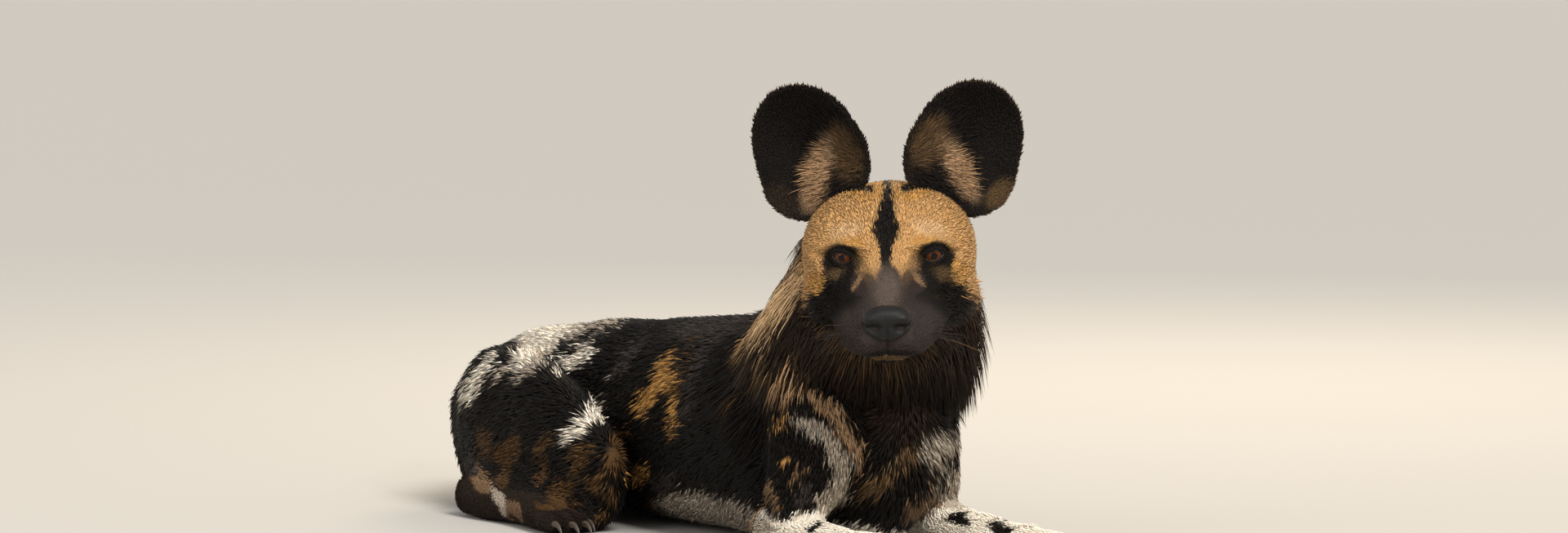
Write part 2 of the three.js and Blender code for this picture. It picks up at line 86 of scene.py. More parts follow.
# Rows of a loft: x, y, z, half width, height above the line, height below it, squareness of the section
TORSO = [
    (-592, 0, 112, 66, 50, 60, 2.0),
    (-540, 0, 108, 94, 71, 92, 2.1),
    (-460, 0, 106, 102, 83, 102, 2.2),
    (-370, 0, 107, 96, 90, 105, 2.2),
    (-280, 0, 109, 90, 96, 108, 2.2),
    (-190, 0, 111, 94, 104, 112, 2.2),
    (-100, 0, 113, 98, 111, 115, 2.2),
    (-20, 0, 116, 90, 116, 118, 2.2),
    (45, 0, 120, 74, 96, 112, 2.1),
    (84, 0, 122, 60, 74, 90, 2.0),
]
NECK = [
    (-48, 0, 128, 84, 90, 84, 2.0),
    (6, 0, 166, 84, 84, 84, 2.0),
    (46, -6, 214, 82, 74, 78, 2.0),
    (72, -13, 262, 78, 66, 72, 2.0),
    (86, -22, 300, 68, 56, 62, 2.0),
]
TAIL = [
    (-585, 4, 148, 24, 22, 24, 2.0),
    (-628, 12, 108, 20, 20, 20, 2.0),
    (-652, 44, 62, 17, 17, 17, 2.0),
    (-652, 92, 36, 16, 15, 15, 2.0),
    (-622, 138, 30, 15, 14, 14, 2.0),
    (-574, 172, 28, 13, 12, 12, 2.0),
    (-520, 192, 26, 8, 8, 8, 2.0),
]
RIGHT_UPPER_FORELEG = [
    (12, 60, 180, 26, 32, 34, 2.0),
    (34, 64, 150, 35, 52, 56, 2.1),
    (46, 68, 118, 36, 62, 56, 2.2),
    (42, 74, 82, 32, 54, 58, 2.2),
    (26, 82, 48, 26, 38, 46, 2.2),
]
LEFT_UPPER_FORELEG = [
    (-26, 56, 180, 26, 30, 34, 2.0),
    (4, 62, 150, 33, 42, 52, 2.1),
    (20, 63, 118, 34, 50, 52, 2.2),
    (22, 70, 82, 31, 46, 54, 2.2),
    (16, 80, 48, 26, 34, 44, 2.2),
]
FOREARM = [
    (-10, 86, 26, 21, 20, 28, 2.3),
    (40, 86, 25, 23, 20, 27, 2.3),
    (90, 86, 22, 20, 19, 24, 2.2),
    (140, 85, 20, 17, 17, 22, 2.2),
    (185, 84, 20, 18, 18, 22, 2.2),
]
FOREPAW = [
    (198, 84, 18, 18, 18, 20, 2.2),
    (225, 83, 18, 20, 16, 20, 2.2),
    (252, 82, 16, 25, 15, 18, 2.2),
    (276, 81, 14, 26, 12, 16, 2.2),
]
THIGH = [
    (-558, 78, 92, 36, 46, 84, 2.0),
    (-500, 92, 94, 43, 72, 94, 2.0),
    (-430, 102, 88, 41, 76, 90, 2.0),
    (-350, 110, 74, 36, 66, 76, 2.0),
    (-285, 114, 62, 30, 50, 64, 2.0),
    (-252, 116, 56, 23, 38, 54, 2.0),
]
SHANK = [
    (-262, 124, 36, 18, 24, 36, 2.0),
    (-320, 129, 34, 18, 26, 34, 2.0),
    (-390, 132, 32, 17, 23, 32, 2.0),
    (-442, 134, 34, 14, 20, 26, 2.0),
    (-466, 134, 36, 13, 14, 20, 2.0),
]
HIND_FOOT = [
    (-466, 152, 24, 13, 20, 24, 2.0),
    (-440, 153, 20, 14, 18, 22, 2.2),
    (-390, 155, 18, 14, 16, 20, 2.2),
    (-330, 157, 18, 17, 16, 20, 2.2),
    (-296, 159, 16, 22, 15, 18, 2.2),
    (-272, 160, 14, 24, 12, 16, 2.2),
]
TOES = [(-19, 0, 27, 8.6, 13), (-7, 12, 30, 9.0, 14), (7, 12, 30, 9.0, 14), (19, 1, 27, 8.6, 13)]

# The head's own rows, with +x to the nose, +y to the left and z = 0 at the eyes
SKULL = [
    (-108, 0, 10, 48, 36, 42, 2.0),
    (-84, 0, 6, 69, 50, 68, 2.1),
    (-58, 0, 0, 80, 59, 82, 2.2),
    (-32, 0, -6, 82, 57, 82, 2.2),
    (-8, 0, -14, 74, 42, 74, 2.3),
    (14, 0, -27, 52, 28, 64, 2.2),
    (36, 0, -40, 40, 25, 50, 2.3),
    (60, 0, -46, 37, 25, 44, 2.4),
    (78, 0, -50, 35, 24, 39, 2.5),
    (88, 0, -52, 30, 20, 35, 2.4),
]
FLEW = [
    (2, 50, -50, 9, 12, 16, 2.0),
    (24, 42, -56, 11, 16, 18, 2.0),
    (50, 34, -59, 14, 19, 18, 2.0),
    (74, 26, -61, 15, 18, 17, 2.0),
    (88, 17, -62, 12, 15, 15, 2.0),
]
MOUTH = [
    (97, 0, -79),
    (90, 20, -79),
    (70, 36, -78),
    (42, 47, -74),
    (20, 53, -68),
]
NOSE = [
    (80, 0, -44, 18, 14, 15, 2.3),
    (88, 0, -44, 22.5, 16, 16.5, 2.5),
    (95, 0, -45, 21.5, 14.5, 15.5, 2.5),
]
EAR_CENTRE = (-66.0, 70.0, 90.0)
EAR_DEPTH = 27.0
EAR_FACES_OUT = 0.34
EAR_THICKNESS = 4.2
EAR_RIM = [55, 50, 53, 59, 63, 62, 59, 61, 73, 72, 66, 62]

# How deep the ear's skin lies in the solid ear, and how far its rim stays inside the solid's rim
EAR_INSET = 0.5
EAR_RIM_INSET = 3.0

# Grooves between the toes: their places out from the foot's middle, their width and depth
TOE_GROOVES = (-13.0, 0.0, 13.0)
GROOVE_WIDTH = 2.8
GROOVE_DEPTH = 4.5

# Hollows (below zero) and pads of the face: how far out, where, and how wide, in the head's frame
FACE_FOLDS = [
    (-5.0, (16, 54, -42), (20, 13, 17)),
    (-2.4, (8, 25, -4), (11, 8, 10)),
    (-2.2, (46, 34, -40), (20, 9, 7)),
    (1.8, (66, 34, -56), (18, 12, 11)),
    (1.5, (-4, 30, 21), (10, 20, 6)),
    (-1.2, (4, 46, -17), (14, 16, 2.6)),
    (-0.9, (8, 44, -24), (14, 15, 2.4)),
]
WHISKER_PADS = ((64, 38, -60), (15, 9, 7))
WHISKERS = 46

# A tuft's height as a share of its width
LOCK_HEIGHT = 0.38

# Half the size of a tuft's patch on the unwrap
HALF_PATCH = 0.0015

# The lowest that skin and hair reach above the floor
SKIN_FLOOR = 0.8
HAIR_FLOOR = 0.3

# Names of the coat's colours, whose values are among the settings
BLACK = "black"
UMBER = "umber"
RUSSET = "russet"
GOLD = "gold"
TAN = "tan"
CREAM = "cream"
STRAW = "straw"
OLIVE = "olive"
MOSS = "moss"
DUN = "dun"
SMOKE = "smoke"
SLATE = "slate"
ASH = "ash"
PALE = "pale"
WHITE = "white"
COLOURS = (BLACK, UMBER, RUSSET, GOLD, TAN, CREAM, STRAW, OLIVE, MOSS, DUN, SMOKE, SLATE, ASH, PALE, WHITE)

# Markings on the side that faces the viewer, as patches on an upright sheet across the line of sight:
# place across and height, half sizes, tilt in degrees, colour. Later ones lie over earlier ones.
SEEN_MARKS = [
    # rump and loin
    (-281, 209, 33, 13, 8, WHITE),
    (-290, 192, 27, 14, 35, WHITE),
    (-296, 175, 20, 5, 42, PALE),
    (-233, 212, 33, 5, 20, PALE),
    (-255, 182, 23, 6, 36, WHITE),
    (-345, 166, 30, 8, 60, WHITE),
    (-325, 169, 17, 3, 52, PALE),
    (-248, 123, 27, 9, 50, WHITE),
    (-226, 166, 4, 2, 40, PALE),
    # flank
    (-175, 166, 27, 9, 62, GOLD),
    (-163, 143, 35, 5, 86, GOLD),
    (-184, 148, 20, 9, 55, GOLD),
    (-193, 139, 11, 5, 50, GOLD),
    (-144, 160, 43, 4, 72, SMOKE),
    (-134, 183, 26, 3, 66, SMOKE),
    (-152, 175, 30, 3, 72, RUSSET),
    # painted sheen: a grey-brown band where the light falls along the top of the back
    (-123, 209, 46, 11, 8, SMOKE),
    (-207, 183, 26, 6, 50, SMOKE),
    (-104, 148, 7, 5, 20, RUSSET),
    (-138, 40, 46, 17, -8, PALE),
    (-104, 29, 32, 17, 0, PALE),
    (-170, 69, 12, 8, 25, SMOKE),
    # thigh
    (-340, 103, 5, 15, 0, RUSSET),
    (-319, 95, 14, 14, 20, RUSSET),
    (-322, 73, 9, 6, 40, RUSSET),
    (-285, 101, 7, 11, -25, RUSSET),
    (-287, 79, 7, 15, -20, RUSSET),
    (-268, 61, 18, 8, 15, RUSSET),
    (-273, 48, 23, 5, 0, RUSSET),
    (-248, 87, 10, 15, -20, RUSSET),
    (-220, 87, 9, 17, -15, RUSSET),
    (-236, 64, 7, 7, 0, RUSSET),
    (-195, 76, 12, 10, 35, GOLD),
    (-222, 55, 6, 7, 0, RUSSET),
    (-188, 46, 8, 6, 20, RUSSET),
    (-230, 34, 7, 5, 0, RUSSET),
    (-214, 111, 11, 5, 40, RUSSET),
    # hock and hind foot
    (-344, 69, 9, 14, 35, DUN),
    (-354, 84, 5, 12, 10, SMOKE),
    (-327, 49, 6, 14, 30, PALE),
    (-312, 40, 5, 11, 30, DUN),
    # shoulder and right foreleg
    (-49, 183, 26, 9, -25, OLIVE),
    (-43, 160, 20, 8, -48, STRAW),
    (-23, 137, 23, 7, -42, STRAW),
    (-3, 110, 23, 7, -58, STRAW),
    (6, 86, 15, 5, -80, STRAW),
    (-79, 160, 17, 4, -30, SMOKE),
    (-32, 117, 21, 8, -30, PALE),
    (-14, 95, 18, 8, -55, PALE),
    (-9, 69, 20, 9, -85, PALE),
    (-23, 51, 15, 8, 50, PALE),
    (-43, 34, 26, 7, 28, WHITE),
    (6, 23, 46, 7, -4, WHITE),
    (-64, 121, 7, 5, 10, GOLD),
    (-62, 83, 6, 3, 40, GOLD),
    (-44, 80, 7, 3, 0, DUN),
    (-49, 67, 6, 3, 20, DUN),
    (-76, 58, 4, 11, 0, DUN),
    (-68, 46, 3, 9, 0, DUN),
    (-40, 59, 14, 4, 60, SMOKE),
    (-36, 27, 7, 4, 30, BLACK),
    # chest and left foreleg
    (44, 133, 33, 26, 0, UMBER),
    (25, 67, 23, 8, 38, OLIVE),
    (50, 90, 20, 9, 52, OLIVE),
    (84, 95, 18, 20, 40, PALE),
    (91, 57, 20, 26, 0, PALE),
    (67, 45, 20, 9, 20, DUN),
    (120, 31, 46, 9, -12, WHITE),
    (90, 87, 9, 5, 12, BLACK),
    (98, 80, 4, 6, 0, BLACK),
    (81, 70, 12, 6, -12, BLACK),
    (65, 58, 11, 7, 50, BLACK),
    (53, 76, 9, 5, 55, BLACK),
    (74, 67, 5, 2, 20, DUN),
    (99, 31, 12, 5, -4, BLACK),
    (139, 26, 11, 5, -4, BLACK),
]
RUFF_MARKS = [
    # the neck's left edge: cream hair, its tone raised as painted backlight
    (-69, 243, 56, 21, 74, CREAM),
    (-57, 276, 28, 13, 74, CREAM),
    (-75, 210, 20, 9, 74, GOLD),
    (-51, 189, 26, 9, -12, UMBER),
    (120, 259, 9, 33, 0, UMBER),
    (44, 133, 33, 26, 0, UMBER),
]
FACE_MARKS = [
    # cheeks and throat
    (35, 198, 79, 61, 0, BLACK),
    (-24, 219, 20, 35, 0, BLACK),
    (96, 219, 20, 35, 0, BLACK),
    # forehead and temples
    (38, 318, 82, 47, 0, TAN),
    (-30, 273, 15, 26, -8, TAN),
    (105, 276, 15, 26, 8, TAN),
    (14, 341, 20, 11, 0, GOLD),
    (53, 341, 20, 11, 0, GOLD),
    # eyes
    (-8, 274, 18, 17, 0, BLACK),
    (-12, 254, 21, 14, 0, BLACK),
    (78, 276, 19, 17, 0, BLACK),
    (82, 255, 22, 14, 0, BLACK),
    (1, 292, 14, 4, -14, GOLD),
    (68, 294, 14, 4, 14, GOLD),
    # muzzle
    (35, 254, 11, 17, 0, SLATE),
    (35, 233, 26, 17, 0, SLATE),
    (36, 207, 53, 32, 0, SLATE),
    (38, 181, 38, 11, 0, BLACK),
    (11, 252, 12, 12, 0, SLATE),
    (58, 254, 12, 12, 0, SLATE),
    (7, 255, 12, 2.5, 58, DUN),
    (61, 258, 12, 2.5, -52, DUN),
    (-31, 253, 8, 11, 0, GOLD),
    (99, 265, 7, 11, 0, GOLD),
    (37, 184, 20, 2.5, 0, OLIVE),
    # blaze
    (33, 341, 4, 17, 0, BLACK),
    (33, 318, 8, 22, 0, BLACK),
    (33, 303, 11, 17, 0, BLACK),
    (33, 281, 5, 19, 0, BLACK),
]
SOFT_MARKS = [
    # where the muzzle's top and the brows catch the light, and the shade under the eyes
    (33, 247, 14, 22, 0, ASH),
    (34, 247, 9, 18, 0, ASH),
    (60, 214, 22, 22, 0, SMOKE),
    (12, 214, 20, 20, 0, SMOKE),
    (12, 268, 6, 15, 24, OLIVE),
    (56, 268, 6, 15, -24, OLIVE),
    (-14, 262, 10, 5, 20, OLIVE),
    (86, 262, 12, 6, -20, OLIVE),
    (-4, 302, 16, 7, 10, CREAM),
    (72, 304, 16, 7, -10, CREAM),
]
EAR_MARKS = [
    (0, 374, 22, 9, -75, MOSS),
    (67, 383, 22, 10, 72, MOSS),
    (-27, 352, 32, 13, 66, STRAW),
    (96, 356, 31, 12, -54, STRAW),
    (136, 335, 16, 9, 50, MOSS),
    (-62, 328, 18, 12, -60, UMBER),
]

# How the markings' edges are drawn: softness, and how far they wander on the face for each mm on the body
FIRM_EDGE = 0.16
EAR_EDGE = 0.38
SOFT_EDGE = 0.6
SOFT_STRENGTH = 0.62
FACE_WANDER = 0.3

# Patches on the side that the markings above don't cover
FAR_PATCHES = 46
FAR_SEED = 41
FAR_COLOURS = (WHITE, GOLD, RUSSET, PALE, RUSSET)

# Hair length, width and lift on the head and at the muzzle
HEAD_HAIR = (9.0, 1.5, 0.2)
MUZZLE_HAIR = (3.2, 1.0, 0.16)
EAR_FUR = (5.0, 1.5)

# The sign of y on each side of the body
SIDES = {"right": -1.0, "left": 1.0}


def on_side(rows, side):
    """The rows of one side's part, from rows whose y is the distance out from the middle."""
    return [(r[0], r[1] * side, *r[2:]) for r in rows]


def shoulder_rows(side):
    """The upper foreleg's rows; the left one lies further back."""
    return on_side(LEFT_UPPER_FORELEG if side > 0 else RIGHT_UPPER_FORELEG, side)


# Geometry helpers
def rotation(axis, degrees):
    return np.array(Matrix.Rotation(math.radians(degrees), 3, axis))


HEAD_TURN = rotation("Z", HEAD_YAW) @ rotation("Y", HEAD_PITCH) @ rotation("X", -HEAD_ROLL)


def from_head(points):
    """Points in the head's frame, carried into the dog's frame."""
    return np.asarray(points, float) @ HEAD_TURN.T + EYES_AT


def into_head(points):
    return (np.asarray(points, float) - EYES_AT) @ HEAD_TURN


def dog_origin():
    """Where the dog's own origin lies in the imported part, found from the two eyes."""
    corners = [np.array(c) for node in ("eye_left", "eye_right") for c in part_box(node)]
    middle = np.mean(corners, axis=0) / MM
    return middle - from_head([[EYE_CENTRE[0], 0.0, 0.0]])[0]


# Both frames have their floor at the same height
ORIGIN = dog_origin() * (1, 1, 0)


def placed(points):
    """Millimetres in the dog's frame to metres in the part's frame."""
    return (np.asarray(points, float) + ORIGIN) * MM


def unplaced(points):
    return np.asarray(points, float) / MM - ORIGIN


def unit(vectors):
    return vectors / np.maximum(np.linalg.norm(vectors, axis=-1, keepdims=True), 1e-9)


def smoothstep(low, high, value):
    t = np.clip((value - low) / (high - low), 0.0, 1.0)
    return t * t * (3 - 2 * t)


def spline(rows, t):
    """Rows read at the row numbers t along a smooth curve through them."""
    rows = np.asarray(rows, float)
    last = len(rows) - 1
    t = np.clip(np.atleast_1d(np.asarray(t, float)), 0, last)
    i = np.minimum(t.astype(int), last - 1)
    f = (t - i)[:, None]
    a, b, d, e = (rows[np.clip(i + k, 0, last)] for k in (-1, 0, 1, 2))
    return b + 0.5 * f * (d - a + f * (2 * a - 5 * b + 4 * d - e + f * (3 * b - a - 3 * d + e)))


def loft_frames(rows, t, hint=UP):
    """The line, its direction, the side and upward directions, and the section of a loft at row numbers t."""
    row = spline(rows, t)
    along = unit(spline(rows, np.asarray(t) + 0.02)[:, :3] - spline(rows, np.asarray(t) - 0.02)[:, :3])
    side = unit(np.cross(np.broadcast_to(hint, along.shape), along))
    return row[:, :3], along, side, np.cross(along, side), row


def loft_points(rows, t, angles, hint=UP, scale=1.0, grow=0.0, shift=0.0):
    """Skin points of a loft, one ring for each row number."""
    at, along, side, up, row = loft_frames(rows, t, hint)
    c, s = np.cos(angles)[None, :], np.sin(angles)[None, :]
    power = 2 / row[:, 6:7]
    width, above, below = row[:, 3:4], row[:, 4:5], row[:, 5:6]
    across = (width * scale + grow) * np.sign(c) * np.abs(c) ** power
    upright = (np.where(s > 0, above, below) * scale + grow) * np.sign(s) * np.abs(s) ** power
    middle = at + along * shift
    return middle[:, None] + across[..., None] * side[:, None] + upright[..., None] * up[:, None]


def ring_faces(rings, n):
    """Faces of a closed tube: its first point, then rings of n points each, then its last point."""
    k = np.arange(n)
    after = (k + 1) % n
    faces = []
    for a in range(1, 1 + (rings - 1) * n, n):
        faces += np.stack([a + k, a + after, a + n + after, a + n + k], 1).tolist()
    end = 1 + rings * n
    last = end - n
    faces += np.stack([np.zeros(n, int), 1 + after, 1 + k], 1).tolist()
    faces += np.stack([np.full(n, end), last + k, last + after], 1).tolist()
    return faces


def loft(rows, sides=40, per_row=6, ends=(20, 20), hint=UP, grow=0.0):
    """Points and faces of a closed body through the rows' sections, with rounded ends."""
    last = len(rows) - 1
    angles = np.linspace(0, 2 * math.pi, sides, endpoint=False)
    caps = np.radians([82, 66, 50, 34, 17])
    rings = []
    for a in caps:
        shift = -(ends[0] + grow) * math.sin(a)
        rings.append(loft_points(rows, [0], angles, hint, math.cos(a), grow * math.cos(a), shift)[0])
    rings += list(loft_points(rows, np.linspace(0, last, last * per_row + 1), angles, hint, 1.0, grow))
    for a in caps[::-1]:
        shift = (ends[1] + grow) * math.sin(a)
        rings.append(loft_points(rows, [last], angles, hint, math.cos(a), grow * math.cos(a), shift)[0])
    at, along, *_ = loft_frames(rows, [0, last], hint)
    first = at[0] - along[0] * (ends[0] + grow)
    final = at[1] + along[1] * (ends[1] + grow)
    points = np.vstack([first[None], *rings, final[None]])
    return points, ring_faces(len(rings), sides)


def ball(at, size, grow=0.0, sides=28, rings=15):
    """Points and faces of an ellipsoid."""
    angles = np.linspace(0, 2 * math.pi, sides, endpoint=False)
    polar = np.linspace(0, math.pi, rings + 2)[1:-1]
    body = [
        np.stack([np.sin(p) * np.cos(angles), np.sin(p) * np.sin(angles), np.full(sides, math.cos(p))], 1)
        for p in polar
    ]
    whole = np.vstack([[[0, 0, 1]], *body, [[0, 0, -1]]])
    points = whole * (np.asarray(size, float) + grow) + np.asarray(at, float)
    return points, ring_faces(rings, sides)


def mesh_object(name, points, faces):
    """A new object whose mesh has these points, in metres, and faces."""
    mesh = bpy.data.meshes.new(name)
    mesh.from_pydata(np.asarray(points).tolist(), [], faces)
    mesh.validate()
    made = bpy.data.objects.new(name, mesh)
    bpy.context.scene.collection.objects.link(made)
    return made


def facing_out(made):
    """Turns the faces of a closed mesh outwards."""
    bm = bmesh.new()
    bm.from_mesh(made.data)
    bmesh.ops.recalc_face_normals(bm, faces=bm.faces)
    bm.to_mesh(made.data)
    bm.free()


def joined(name, forms):
    """One object from several lists of points, in millimetres, and faces."""
    points, faces, start = [], [], 0
    for p, f in forms:
        points.append(p)
        faces += [[v + start for v in face] for face in f]
        start += len(p)
    return mesh_object(name, placed(np.vstack(points)), faces)


def select_only(made):
    bpy.ops.object.select_all(action="DESELECT")
    made.select_set(True)
    bpy.context.view_layer.objects.active = made


def apply_modifier(made, kind, **settings):
    select_only(made)
    modifier = made.modifiers.new(kind.title(), kind)
    for key, value in settings.items():
        setattr(modifier, key, value)
    bpy.ops.object.modifier_apply(modifier=modifier.name)


def mesh_points(made):
    co = np.empty(len(made.data.vertices) * 3, np.float32)
    made.data.vertices.foreach_get("co", co)
    return unplaced(co.reshape(-1, 3).astype(float))


def set_mesh_points(made, points):
    made.data.vertices.foreach_set("co", placed(points).astype(np.float32).ravel())
    made.data.update()


def mesh_normals(made):
    n = np.empty(len(made.data.vertices) * 3, np.float32)
    made.data.vertex_normals.foreach_get("vector", n)
    return n.reshape(-1, 3).astype(float)


def set_colours(made, layer, colours):
    """Writes a colour for each point of the mesh to a new attribute."""
    attribute = made.data.color_attributes.new(layer, "FLOAT_COLOR", "POINT")
    shown = np.hstack([colours, np.ones((len(colours), 1))])
    attribute.data.foreach_set("color", shown.astype(np.float32).ravel())


def smooth_faces(made):
    made.data.polygons.foreach_set("use_smooth", np.ones(len(made.data.polygons), bool))


# Noise in space
def lattice(cells, salt):
    """A number from 0 to 1 for each cell of a lattice."""
    x, y, z = (cells[..., k].astype(np.int64) for k in range(3))
    mixed = (x * 73856093) ^ (y * 19349663) ^ (z * 83492791) ^ (salt * 2654435761)
    mixed = (mixed ^ (mixed >> 13)) * 1274126177
    return ((mixed ^ (mixed >> 16)) & 0xFFFF) / 65535.0


def noise(points, size, salt=0):
    """Smooth noise from -1 to 1, with lumps of the given size in millimetres."""
    p = points / size
    cell = np.floor(p)
    f = p - cell
    f = f * f * (3 - 2 * f)
    total = np.zeros(len(points))
    for corner in range(8):
        step = np.array([corner & 1, (corner >> 1) & 1, (corner >> 2) & 1])
        weight = np.prod(np.where(step, f, 1 - f), axis=1)
        total += weight * lattice(cell + step, salt)
    return total * 2 - 1


# The view from which the markings were laid out
def view_axes():
    a, e = math.radians(VIEW_AZIMUTH), math.radians(VIEW_ELEVATION)
    right = np.array([math.cos(a), math.sin(a), 0.0])
    towards = np.array([math.sin(a) * math.cos(e), -math.cos(a) * math.cos(e), math.sin(e)])
    return right, np.cross(towards, right), towards


VIEW_RIGHT, VIEW_UP, VIEW_TOWARDS = view_axes()


def on_sheet(points):
    """Where points fall on the upright sheet: across and up, in millimetres at the head's distance."""
    shrink = 1 / (1 + (VIEW_DEPTH - points @ VIEW_TOWARDS) / VIEW_DISTANCE)
    across = (points @ VIEW_RIGHT - VIEW_ACROSS) * shrink + VIEW_ACROSS
    high = (points @ VIEW_UP - VIEW_HIGH) * shrink + VIEW_HIGH
    return across, high


def palette():
    """The settings' coat colours by name."""
    settings = bpy.context.scene.wilddog_colours
    return {name: np.array(getattr(settings, name)) for name in COLOURS}


def lay_patch(colours, dx, dy, half_sizes, tilt, tone, where, edge=FIRM_EDGE):
    """Lays a soft-edged ellipse of one colour over the colours, in place, only where the mask allows."""
    c, s = math.cos(math.radians(tilt)), math.sin(math.radians(tilt))
    reach = np.hypot((dx * c + dy * s) / half_sizes[0], (dy * c - dx * s) / half_sizes[1])
    cover = (1 - smoothstep(1 - edge, 1 + edge, reach)) * where
    hit = cover > 0.01
    colours[hit] += (tone - colours[hit]) * cover[hit, None]


def paint(colours, across, high, where, marks, edge=FIRM_EDGE):
    """Lays marks over the colours, in place, later ones over earlier ones."""
    tones = palette()
    for x, y, half_long, half_short, tilt, tone in marks:
        lay_patch(colours, across - x, high - y, (half_long, half_short), tilt, tones[tone], where, edge)


# Each length: rows, the way its sections face, sign of the hair's run, hair length, width and lift, colour
def body_lengths():
    """Every length of the body that carries coat."""
    lengths = {
        "torso": (TORSO, UP, -1, 20, 2.0, 0.2, BLACK),
        "neck": (NECK, LEANING_BACK, -1, 38, 2.3, 0.46, UMBER),
        "tail": (TAIL, UP, 1, 30, 2.4, 0.4, TAN),
    }
    for word, side in SIDES.items():
        lengths["shoulder_" + word] = (shoulder_rows(side), STANDING, 1, 13, 2.0, 0.22, BLACK)
        lengths["forearm_" + word] = (on_side(FOREARM, side), UP, 1, 8, 1.5, 0.18, WHITE)
        lengths["forepaw_" + word] = (on_side(FOREPAW, side), UP, 1, 4.2, 1.1, 0.16, WHITE)
        lengths["thigh_" + word] = (on_side(THIGH, side), UP, -1, 16, 2.1, 0.24, BLACK)
        lengths["shank_" + word] = (on_side(SHANK, side), UP, 1, 10, 1.8, 0.2, BLACK)
        lengths["hind_foot_" + word] = (on_side(HIND_FOOT, side), UP, 1, 4.8, 1.1, 0.16, UMBER)
    return lengths


def nearest_lengths(points):
    """Weights of every length of the body, and the head, at the points, with their hair's run and size."""
    names, gaps, runs, sizes, tones = [], [], [], [], []
    for name, (rows, hint, sign, long, wide, lift, tone) in body_lengths().items():
        t = np.linspace(0, len(rows) - 1, 2 * len(rows) - 1)
        at, along, side, up, row = loft_frames(rows, t, hint)
        spacing = np.linalg.norm(np.diff(at, axis=0), axis=1).max()
        best = np.full(len(points), 1e9)
        run = np.zeros((len(points), 3))
        for k in range(len(t)):
            d = points - at[k]
            high = d @ up[k]
            tall = np.where(high > 0, row[k, 4], row[k, 5])
            off = np.abs(d @ along[k]) / spacing
            gap = np.sqrt((d @ side[k] / row[k, 3]) ** 2 + (high / tall) ** 2 + off**2)
            nearer = gap < best
            best = np.where(nearer, gap, best)
            run[nearer] = sign * along[k]
        names.append(name)
        gaps.append(best)
        runs.append(run)
        sizes.append((long, wide, lift))
        tones.append(tone)
    local = into_head(points)
    x, y, z = local.T
    head_gap = np.sqrt(((x + 20) / 98) ** 2 + (y / 84) ** 2 + ((z + 18) / 74) ** 2)
    names.append("head")
    gaps.append(head_gap * (0.92 - 0.2 * smoothstep(0, 40, z)))
    back = np.stack([-np.ones(len(local)), y * 0.006, 0.1 - 0.004 * np.abs(y)], 1)
    runs.append(unit(back) @ HEAD_TURN.T)
    sizes.append(HEAD_HAIR)
    tones.append(TAN)
    gaps = np.array(gaps)
    weights = np.exp(-9 * (gaps - gaps.min(axis=0)))
    weights /= weights.sum(axis=0)
    return names, weights, np.array(runs), np.array(sizes, float), tones


def ear_rim(angles):
    """The distance from an ear's centre to its rim, at angles from the inner side over the top."""
    rows = [(r,) for r in EAR_RIM * 3]
    return spline(rows, 12 + np.mod(angles, 2 * math.pi) / (2 * math.pi) * 12)[:, 0]


def ear_lean(height):
    """How far the dish comes forward below the ear's centre, or goes back above it."""
    return np.where(height < 0, -0.18 * height, -0.05 * height)


def ear_place(points):
    """Where points lie on the nearer ear, and that ear's side.

    The place is given inwards, upwards, as a share of the way to the rim, and behind the dish.
    """
    local = into_head(points)
    side = np.where(local[:, 1] > 0, 1.0, -1.0)
    inward = EAR_CENTRE[1] - local[:, 1] * side
    height = local[:, 2] - EAR_CENTRE[2]
    share = np.hypot(inward, height) / ear_rim(np.arctan2(height, inward))
    dish = EAR_CENTRE[0] + EAR_FACES_OUT * inward - EAR_DEPTH * (1 - np.minimum(share, 1.1) ** 2)
    dish += ear_lean(height)
    return inward, height, share, dish - local[:, 0], side


def ear_share(points):
    """How far points belong to the ears, 0 to 1, and which way their hair runs."""
    inward, height, share, behind, side = ear_place(points)
    cover = (1 - smoothstep(1.04, 1.12, share)) * smoothstep(12, 7, np.abs(behind - 1))
    run = np.stack([np.full(len(points), 0.0), -inward * side, height + 74], 1)
    return cover, unit(run) @ HEAD_TURN.T


def markings(points, normals, roughness=1.0):
    """The coat's colour at points in the dog's frame: one function for the skin and for every tuft."""
    names, weights, _, _, base = nearest_lengths(points)
    tones = palette()
    sharp = weights**3
    sharp /= sharp.sum(axis=0)
    colours = np.einsum("ln,lc->nc", sharp, np.array([tones[name] for name in base]))
    ears, _ = ear_share(points)
    head = weights[names.index("head")]
    neck = weights[names.index("neck")]
    wobble = [
        5.0 * noise(points, 26, salt) + 2.4 * noise(points, 9, salt + 5) + 1.8 * noise(points, 5, salt + 9)
        for salt in (1, 2)
    ]
    across, high = on_sheet(points)
    across = across + wobble[0] * roughness
    high = high + wobble[1] * roughness
    towards = normals @ VIEW_TOWARDS
    seen = smoothstep(-0.35, -0.05, towards)
    body = (1 - smoothstep(0.25, 0.6, head)) * (1 - ears)
    far_marks(colours, points, (1 - seen) * body)
    paint(colours, across, high, seen * body, SEEN_MARKS)
    paint(colours, across, high, smoothstep(0.2, 0.6, neck) * seen * (1 - ears), RUFF_MARKS)
    face = smoothstep(0.3, 0.6, head) * (1 - ears)
    across = across + (FACE_WANDER - 1) * wobble[0] * roughness
    high = high + (FACE_WANDER - 1) * wobble[1] * roughness
    paint(colours, across, high, face * seen, FACE_MARKS)
    paint(colours, across, high, SOFT_STRENGTH * face * seen, SOFT_MARKS, SOFT_EDGE)
    colours += (tones[BLACK] - colours) * (ears * np.where(towards > 0, 1.0, 0.75))[:, None]
    paint(colours, across, high, ears * smoothstep(0.0, 0.3, towards), EAR_MARKS, EAR_EDGE)
    tail_marks(colours, points, weights[names.index("tail")])
    # painted shade: the colour darkened along the grooves between the toes
    colours *= (1 - 0.5 * toe_grooves(points))[:, None]
    return np.clip(colours, 0.0, 1.0)


